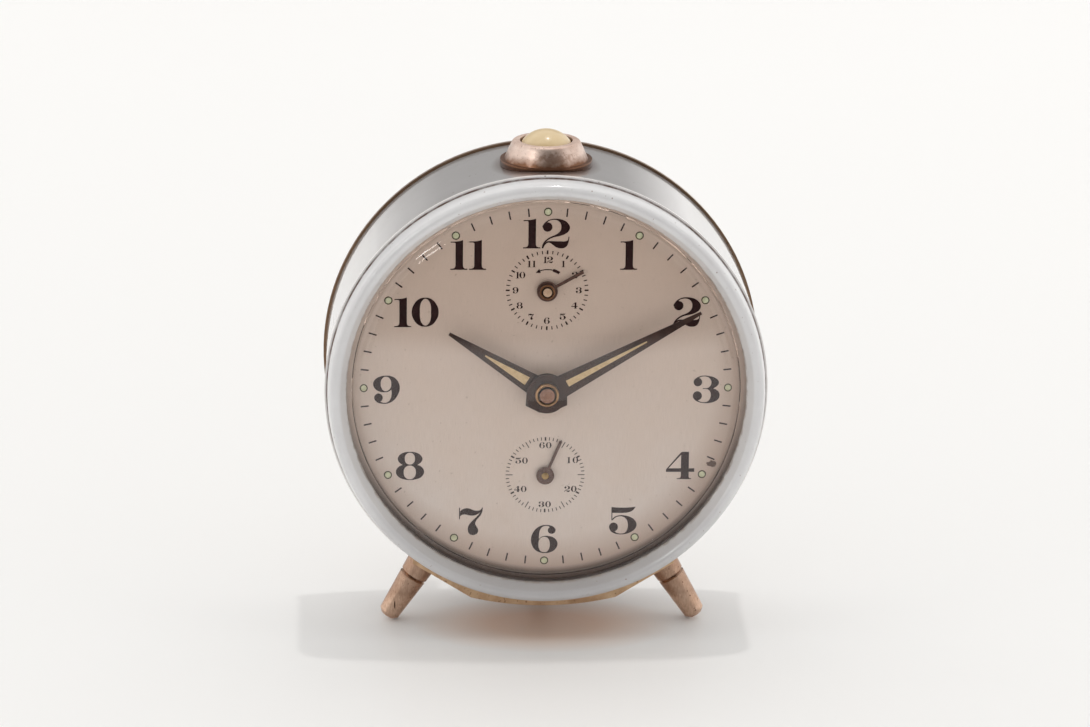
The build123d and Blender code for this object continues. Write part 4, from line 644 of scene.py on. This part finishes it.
def keepPiece(name, shape, surface, body, soft=False):  # a finished shape becomes a piece
    mesh = bpy.data.meshes.new(name)
    shape.to_mesh(mesh)
    shape.free()
    if soft:
        mesh.shade_smooth()
    mesh.materials.append(surfaces[surface])
    piece = bpy.data.objects.new(name, mesh)
    scene.collection.objects.link(piece)
    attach(piece, body)
    return piece


# printed marks are thin flat shapes lying on the dial
def readLoops(text):
    loops = []
    for run in text.split("|"):
        words = run.split()
        loops.append([(*map(float, word.rstrip("c").split(",")), word.endswith("c")) for word in words])
    return loops


def fillLoops(loops):  # one filled outline, drawn in x and y
    curve = bpy.data.curves.new("outline", "CURVE")
    curve.dimensions = "2D"
    curve.fill_mode = "BOTH"
    curve.resolution_u = ink["curveSteps"]
    curve.extrude = ink["thick"] / 2
    for loop in loops:
        spline = curve.splines.new("BEZIER")
        spline.bezier_points.add(len(loop) - 1)
        spline.use_cyclic_u = True
        for point, (x, y, corner) in zip(spline.bezier_points, loop):
            point.co = (x, y, 0)
            point.handle_left_type = point.handle_right_type = "VECTOR" if corner else "AUTO"
    drawn = bpy.data.objects.new("outline", curve)
    scene.collection.objects.link(drawn)
    mesh = bpy.data.meshes.new_from_object(drawn.evaluated_get(bpy.context.evaluated_depsgraph_get()))
    bpy.data.objects.remove(drawn)
    return mesh


def stampMesh(shape, mesh, place):
    before = len(shape.verts)
    shape.from_mesh(mesh)
    shape.verts.ensure_lookup_table()
    bmesh.ops.transform(shape, matrix=place, verts=shape.verts[before:])


def stampDial(shape, mesh, x, z, layer, size=1.0):  # layers keep overlapping outlines apart
    lift = ink["lift"] + ink["layer"] * layer
    spot = dialPlace @ Matrix.Translation((x, -lift, z)) @ standUp
    stampMesh(shape, mesh, spot @ Matrix.Scale(size, 4))


def onCircle(radius, angle, middle=(0, 0)):  # angle in radians, clockwise from twelve o'clock
    return middle[0] + radius * math.sin(angle), middle[1] + radius * math.cos(angle)


def addTicks(shape, bar, middle, radius, count, wanted):  # short straight marks pointing at the middle
    for step in range(count):
        if wanted(step):
            angle = 2 * math.pi * step / count
            x, z = onCircle(radius, angle, middle)
            spot = dialPlace @ Matrix.Translation((x, -ink["lift"], z)) @ Matrix.Rotation(angle, 4, "Y")
            stretch = Matrix.Diagonal((bar["width"], ink["thick"], bar["length"], 1))
            bmesh.ops.create_cube(shape, size=1.0, matrix=spot @ stretch)


def closeUp(shape, gap=1e-7):  # joins points that meet and turns the faces outwards
    bmesh.ops.remove_doubles(shape, verts=shape.verts, dist=gap)
    bmesh.ops.recalc_face_normals(shape, faces=shape.faces)


digitMeshes = {
    digit: [fillLoops(readLoops(text)) for text in outlines] for digit, outlines in digitShapes.items()}
print("digits drawn:", len(digitMeshes))


def stampDigit(shape, digit, x, z, size=1.0):
    for layer, mesh in enumerate(digitMeshes[digit]):
        stampDial(shape, mesh, x, z, layer, size)


def stampNumber(shape, text, x, z, digits):
    start = x - digits["advance"] * (len(text) - 1) / 2
    for order, digit in enumerate(text):
        stampDigit(shape, digit, start + digits["advance"] * order, z, digits["height"] / drawnHeight)


def turnPoint(radius, degrees, corner=True):
    return (*onCircle(radius, math.radians(degrees)), corner)


def arcLoop(radius, half, start, end, steps):  # a bent bar between two angles in degrees
    loop = []
    for side, order in ((half, range(steps + 1)), (-half, range(steps, -1, -1))):
        for step in order:
            degrees = start + (end - start) * step / steps
            loop.append(turnPoint(radius + side, degrees, step in (0, steps)))
    return loop


def headLoop(radius, half, base, tip):  # an arrow's head, from its base to its tip in degrees
    return [turnPoint(radius, tip), turnPoint(radius + half, base), turnPoint(radius - half, base)]


def makeHourNumerals():
    shape = bmesh.new()
    for digit, x, z in hourNumerals:
        stampDigit(shape, digit, x, z)
    closeUp(shape)
    keepPiece("hour_numerals", shape, "dialInk", "case")


def makeMinuteTrack():
    track = {"radius": 36.5, "length": 1.68, "width": 0.3}
    shape = bmesh.new()
    addTicks(shape, track, (0, 0), track["radius"], 60, lambda step: step % 5)
    keepPiece("minute_track", shape, "dialInk", "case")


def extrudeRing(shape, edges):  # gives the corners and edges of the new ring
    made = bmesh.ops.extrude_edge_only(shape, edges=edges)["geom"]
    corners = [item for item in made if isinstance(item, bmesh.types.BMVert)]
    ring = [item for item in made if isinstance(item, bmesh.types.BMEdge)
            and all(vert in corners for vert in item.verts)]
    return corners, ring


def makeHourDots():
    dot = {"radius": 36.5, "lume": 0.62, "taper": 0.8, "height": 0.1, "gap": 0.005, "sides": 28,
           "edge": 0.84, "rise": 0.03}
    inward = dot["lume"] / dot["edge"]
    pads = bmesh.new()
    rims = bmesh.new()
    for hour in range(12):
        x, z = onCircle(dot["radius"], 2 * math.pi * hour / 12)
        spot = dialPlace @ Matrix.Translation((x, 0, z)) @ standUp
        bmesh.ops.create_cone(
            pads, cap_ends=True, segments=dot["sides"], radius1=dot["lume"], depth=dot["height"],
            radius2=dot["lume"] * dot["taper"],
            matrix=spot @ Matrix.Translation((0, 0, dot["height"] / 2 + dot["gap"])))
        # the rim round it goes up from the dial and then in to the pad
        circle = bmesh.ops.create_circle(
            rims, segments=dot["sides"], radius=dot["edge"],
            matrix=spot @ Matrix.Translation((0, 0, dot["gap"])))["verts"]
        top, topRing = extrudeRing(rims, [edge for edge in rims.edges if edge.verts[0] in circle])
        bmesh.ops.translate(rims, verts=top, vec=Vector((0, -dot["rise"] * mm, 0)))
        inner, _ = extrudeRing(rims, topRing)
        bmesh.ops.scale(rims, verts=inner, vec=Vector((inward, 1, inward)),
                        space=Matrix.Translation(-spot.translation))
    closeUp(pads)
    closeUp(rims)
    keepPiece("hour_dot_rims", rims, "dotEdge", "case")
    keepPiece("hour_dots", pads, "dotLume", "case")


def makeAlarmScale():
    scale = {"radius": 7.85, "ticks": 48, "digitRadius": 6.3, "digits": {"height": 1.33, "advance": 0.95}}
    minor = {"length": 0.7, "width": 0.2}
    major = {"length": 0.8, "width": 0.32}
    # an arrow turning left above the middle: half width, two angles in degrees, steps
    arrow = {"radius": 4.28, "line": (0.1, -20, 16, 8), "tail": (0.3, 15, 34, 5), "head": (0.45, -20, -33)}
    middle = smallDials["alarm"]
    shape = bmesh.new()
    addTicks(shape, minor, middle, scale["radius"], scale["ticks"], lambda step: step % 4)
    addTicks(shape, major, middle, scale["radius"], scale["ticks"], lambda step: step % 4 == 0)
    for hour in range(1, 13):
        x, z = onCircle(scale["digitRadius"], 2 * math.pi * hour / 12, middle)
        stampNumber(shape, str(hour), x, z, scale["digits"])
    loops = [
        arcLoop(arrow["radius"], *arrow["line"]),
        arcLoop(arrow["radius"], *arrow["tail"]),
        headLoop(arrow["radius"], *arrow["head"]),
    ]
    for layer, loop in enumerate(loops):
        stampDial(shape, fillLoops([loop]), *middle, layer)
    closeUp(shape)
    keepPiece("alarm_scale", shape, "dialInk", "case")


def makeSecondsScale():
    scale = {"outer": 7.95, "digits": {"height": 1.27, "advance": 1.33}}
    minor = {"length": 0.68, "width": 0.16}
    five = {"length": 1.4, "width": 0.16}
    ten = {"length": 0.75, "width": 0.32}
    numbers = {"60": (0, 6.24), "10": (5.4, 3.1), "20": (5.15, -3.0),
               "30": (0, -6.24), "40": (-4.95, -3.0), "50": (-4.75, 3.0)}
    middle = smallDials["seconds"]
    shape = bmesh.new()
    for bar, wanted in ((minor, lambda step: step % 5), (five, lambda step: step % 10 == 5),
                        (ten, lambda step: step % 10 == 0)):
        addTicks(shape, bar, middle, scale["outer"] - bar["length"] / 2, 60, wanted)
    for text, (x, z) in numbers.items():
        stampNumber(shape, text, middle[0] + x, middle[1] + z, scale["digits"])
    closeUp(shape)
    keepPiece("seconds_scale", shape, "dialInk", "case")


def turnProfile(profile, middle, steps=48):  # radius and depth pairs, spun round a point of the dial
    shape = bmesh.new()
    points = [shape.verts.new((radius, depth, 0)) for radius, depth in profile]
    sides = [shape.edges.new(pair) for pair in zip(points, points[1:])]
    bmesh.ops.spin(
        shape, geom=points + sides, cent=(0, 0, 0), axis=(0, 1, 0), angle=2 * math.pi, steps=steps,
        use_merge=True)
    closeUp(shape, 1e-4)  # still in millimetres here
    spot = dialPlace @ Matrix.Translation((middle[0], 0, middle[1]))
    bmesh.ops.transform(shape, matrix=spot, verts=shape.verts)
    return shape


def makeHubs():
    nut = [(1.66, -4.5), (2.4, -4.5), (2.4, -5.25), (2.32, -5.46), (2.1, -5.6), (1.9, -5.54), (1.75, -5.36),
           (1.66, -5.1), (1.66, -4.5)]
    cap = [(0, -0.8), (0.74, -0.8), (0.7, -0.98), (0.5, -1.1), (0, -1.14)]
    bush = [(1.14, -1.5), (1.56, -1.5), (1.54, -1.66), (1.42, -1.72), (1.22, -1.68), (1.14, -1.58),
            (1.14, -1.5)]
    turned = keepPiece("hub_nut", turnProfile(nut, (0, 0)), "hubCopper", "minute_arbor", True)
    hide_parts("hand_nut")
    capShape = turnProfile(cap, smallDials["seconds"])
    keepPiece("seconds_cap", capShape, "brass", "seconds_arbor", True)
    bushShape = turnProfile(bush, smallDials["alarm"])
    keepPiece("alarm_bush", bushShape, "bushCopper", "alarm_setting", True)


def makeBackMarks():  # arrows round the keys and knobs, plus and minus by the regulator
    marks = {"face": 26.8, "line": 0.22, "head": 1.0, "headLong": 3.0, "steps": 12,
             "keyRadius": 12.2, "knobRadius": 7.0, "sign": 2.4}
    # each arrow is drawn as seen from behind: middle, radius, tail and tip in degrees
    arrows = [
        ((18.9, 3.5), marks["keyRadius"], 35, -35), ((-18.9, 3.5), marks["keyRadius"], 35, -35),
        ((0, 0), marks["knobRadius"], 220, 140), (smallDials["alarm"], marks["knobRadius"], -40, 40)]
    signs = [((15.0, -21.6), (0, 90)), ((24.6, -12.4), (90,))]  # middle and the turn of each stroke
    shape = bmesh.new()
    backPlace = (dialPlace @ Matrix.Translation((0, marks["face"] + ink["lift"], 0))
                 @ Matrix.Rotation(math.pi, 4, "Z") @ standUp)
    for (x, z), radius, tail, tip in arrows:
        point = tip + math.copysign(math.degrees(marks["headLong"] / radius), tip - tail)
        spot = backPlace @ Matrix.Translation((-x, z, 0))
        stampMesh(shape, fillLoops([arcLoop(radius, marks["line"], tail, tip, marks["steps"])]), spot)
        stampMesh(shape, fillLoops([headLoop(radius, marks["head"], tip, point)]), spot)
    stroke = Matrix.Diagonal((2 * marks["line"], marks["sign"], ink["thick"], 1))
    for (x, z), turns in signs:
        for turn in turns:
            spot = backPlace @ Matrix.Translation((-x, z, 0)) @ Matrix.Rotation(math.radians(turn), 4, "Z")
            bmesh.ops.create_cube(shape, size=1.0, matrix=spot @ stroke)
    closeUp(shape)
    keepPiece("back_marks", shape, "coverInk", "case")


makeHourNumerals()
makeMinuteTrack()
makeHourDots()
makeAlarmScale()
makeSecondsScale()
makeHubs()
makeBackMarks()
print("dial and back printed, hubs turned")


def addBoard(name, size, location, rotation=(0, 0, 0)):  # its own coordinates stay those of the scene
    bpy.ops.mesh.primitive_plane_add(size=1.0, location=location, rotation=rotation)
    board = bpy.context.object
    board.name = name
    board.scale = (*size, 1.0)
    bpy.ops.object.transform_apply(location=True, rotation=True, scale=True)
    return board


def makeFloor():
    floor = {
        "size": (4.0, 4.0), "middle": (0, 0.8, 0), "toneFade": (-220.0, 500.0),
        "nearTone": colour(240, 240, 239), "farTone": colour(243, 243, 242),
        "cloud": {"Scale": 0.02, "Amount": 0.3, "Aged": colour(242, 242, 241)},
        "saddleBounce": {"Middle": (0.5, 4.0, 0), "Squeeze": (1 / 27, 1 / 17, 0)}, "patchFade": (1.0, 0.4),
        "bounceTone": colour(234, 210, 193),
    }
    material, tree, shader, place = startMaterial("floorCard", {"Roughness": 0.42})
    # painted shade: the floor is a little darker towards the front
    back = fadeValue(tree, axisValue(tree, place, "Y"), *floor["toneFade"])
    tone = mixColour(tree, back, floor["nearTone"], floor["farTone"])
    cloud = useGroup(tree, mottle, place, {**floor["cloud"], "Fresh": tone})["Color"]
    # painted light: a warm patch on the floor under the clock, below its brass saddle, for the light the
    # brass throws down
    warmBounce = fadeValue(tree, useGroup(tree, distance, place, floor["saddleBounce"])["Away"], *floor["patchFade"])
    fillSockets(tree, shader, {"Base Color": mixColour(tree, warmBounce, cloud, floor["bounceTone"])})
    ground = addBoard("floor", floor["size"], floor["middle"])
    ground.data.materials.append(material)


glowRise = 0.2  # a card's glow goes from its first value to its second over this height


def makeGlow(name, card):  # a glow that fades out at the card's lower edge, or upwards if fade is negative
    material, tree, shader, place = startMaterial(name, {})
    height = axisValue(tree, place, "Z")
    foot = (card["low"] - axisZ) / mm
    edge = foot if card["fade"] > 0 else foot + card["size"][1] / mm
    there = fadeValue(tree, height, edge, edge + card["fade"] / mm)
    glow = fadeValue(tree, height, foot, foot + glowRise / mm, *card["glow"])
    light = addNode(tree, "ShaderNodeEmission", {"Color": (*lampTint, 1), "Strength": glow})[0]
    clear = tree.nodes.new("ShaderNodeBsdfTransparent").outputs[0]
    fillSockets(tree, tree.get_output_node("ALL"), {"Surface": mixShader(tree, there, clear, light)})
    tree.nodes.remove(shader)
    return material


def makeCards():  # boards round the clock, seen only in reflections
    cards = {
        "front_card": {
            "place": (0, -0.29), "turn": 0, "size": (0.64, 0.22), "low": 0.0,
            "glow": (0.02, 0.02), "fade": 0.016},
        "front_high": {
            "place": (0, -0.3), "turn": 0, "size": (0.8, 1.0), "low": 0.2,
            "glow": (0.36, 0.36), "fade": 0.02},
        "streak_card": {
            "place": (-0.26, -0.27), "turn": -43, "size": (0.11, 0.05), "low": 0.26,
            "glow": (13.0, 13.0), "fade": 0.002},
        "low_card": {
            "place": (-0.85, 1.85), "turn": 0, "size": (1.7, 0.5), "low": 0.0,
            "glow": (0.86, 0.46), "fade": -0.5},
        "back_card": {
            "place": (-0.45, 1.9), "turn": 0, "size": (2.4, 1.3), "low": 0.0,
            "glow": (0.28, 0.28), "fade": 0.4},
    }
    for name, card in cards.items():
        location = (*card["place"], card["low"] + card["size"][1] / 2)
        board = addBoard(name, card["size"], location, (math.radians(90), 0, math.radians(card["turn"])))
        board.data.materials.append(makeGlow(name, card))
        board.visible_camera = board.visible_shadow = False
        board.visible_diffuse = name == "front_high"  # this one also dims the light from the front


def makeLights():
    lamp = {"size": 0.06, "place": (0.14, 0.2, 1.8), "power": 4.3}
    sky = {"Color": (1.0, 0.985, 0.97, 1), "Strength": 1.15}
    light = bpy.data.lights.new("overhead", "AREA")
    light.shape = "SQUARE"
    light.size = lamp["size"]
    light.energy = lamp["power"]
    light.color = lampTint
    holder = bpy.data.objects.new("overhead", light)
    holder.location = lamp["place"]
    scene.collection.objects.link(holder)
    world = bpy.data.worlds.new("surroundings")
    world.use_nodes = True
    fillSockets(world.node_tree, world.node_tree.nodes["Background"], sky)
    scene.world = world


def makeCamera():
    shot = {"photoWidth": 1090, "focalPixels": 5000.0, "away": 999.0, "aim": (-0.27, 0.0, 5.07),
            "azimuth": -2.58, "elevation": 16.9, "roll": 0.66, "clipStart": 0.05}
    azimuth, elevation, roll = (math.radians(shot[name]) for name in ("azimuth", "elevation", "roll"))
    level = math.cos(elevation)
    back = Vector((math.sin(azimuth) * level, -math.cos(azimuth) * level, math.sin(elevation)))
    right = Vector((math.cos(azimuth), math.sin(azimuth), 0))
    turned = right * math.cos(roll) + back.cross(right) * math.sin(roll)
    data = bpy.data.cameras.new("photoCamera")
    data.sensor_fit = "HORIZONTAL"
    data.lens = shot["focalPixels"] * data.sensor_width / shot["photoWidth"]
    data.clip_start = shot["clipStart"]
    camera = bpy.data.objects.new("photoCamera", data)
    stand = dialPlace @ Vector(shot["aim"]) + back * shot["away"] * mm
    facing = Matrix((turned, back.cross(turned), back)).transposed().to_4x4()
    camera.matrix_world = Matrix.Translation(stand) @ facing
    scene.collection.objects.link(camera)
    scene.camera = camera


makeFloor()
makeCards()
makeLights()
makeCamera()
scene.view_settings.view_transform = "Standard"
print("floor, cards, lights and camera set")
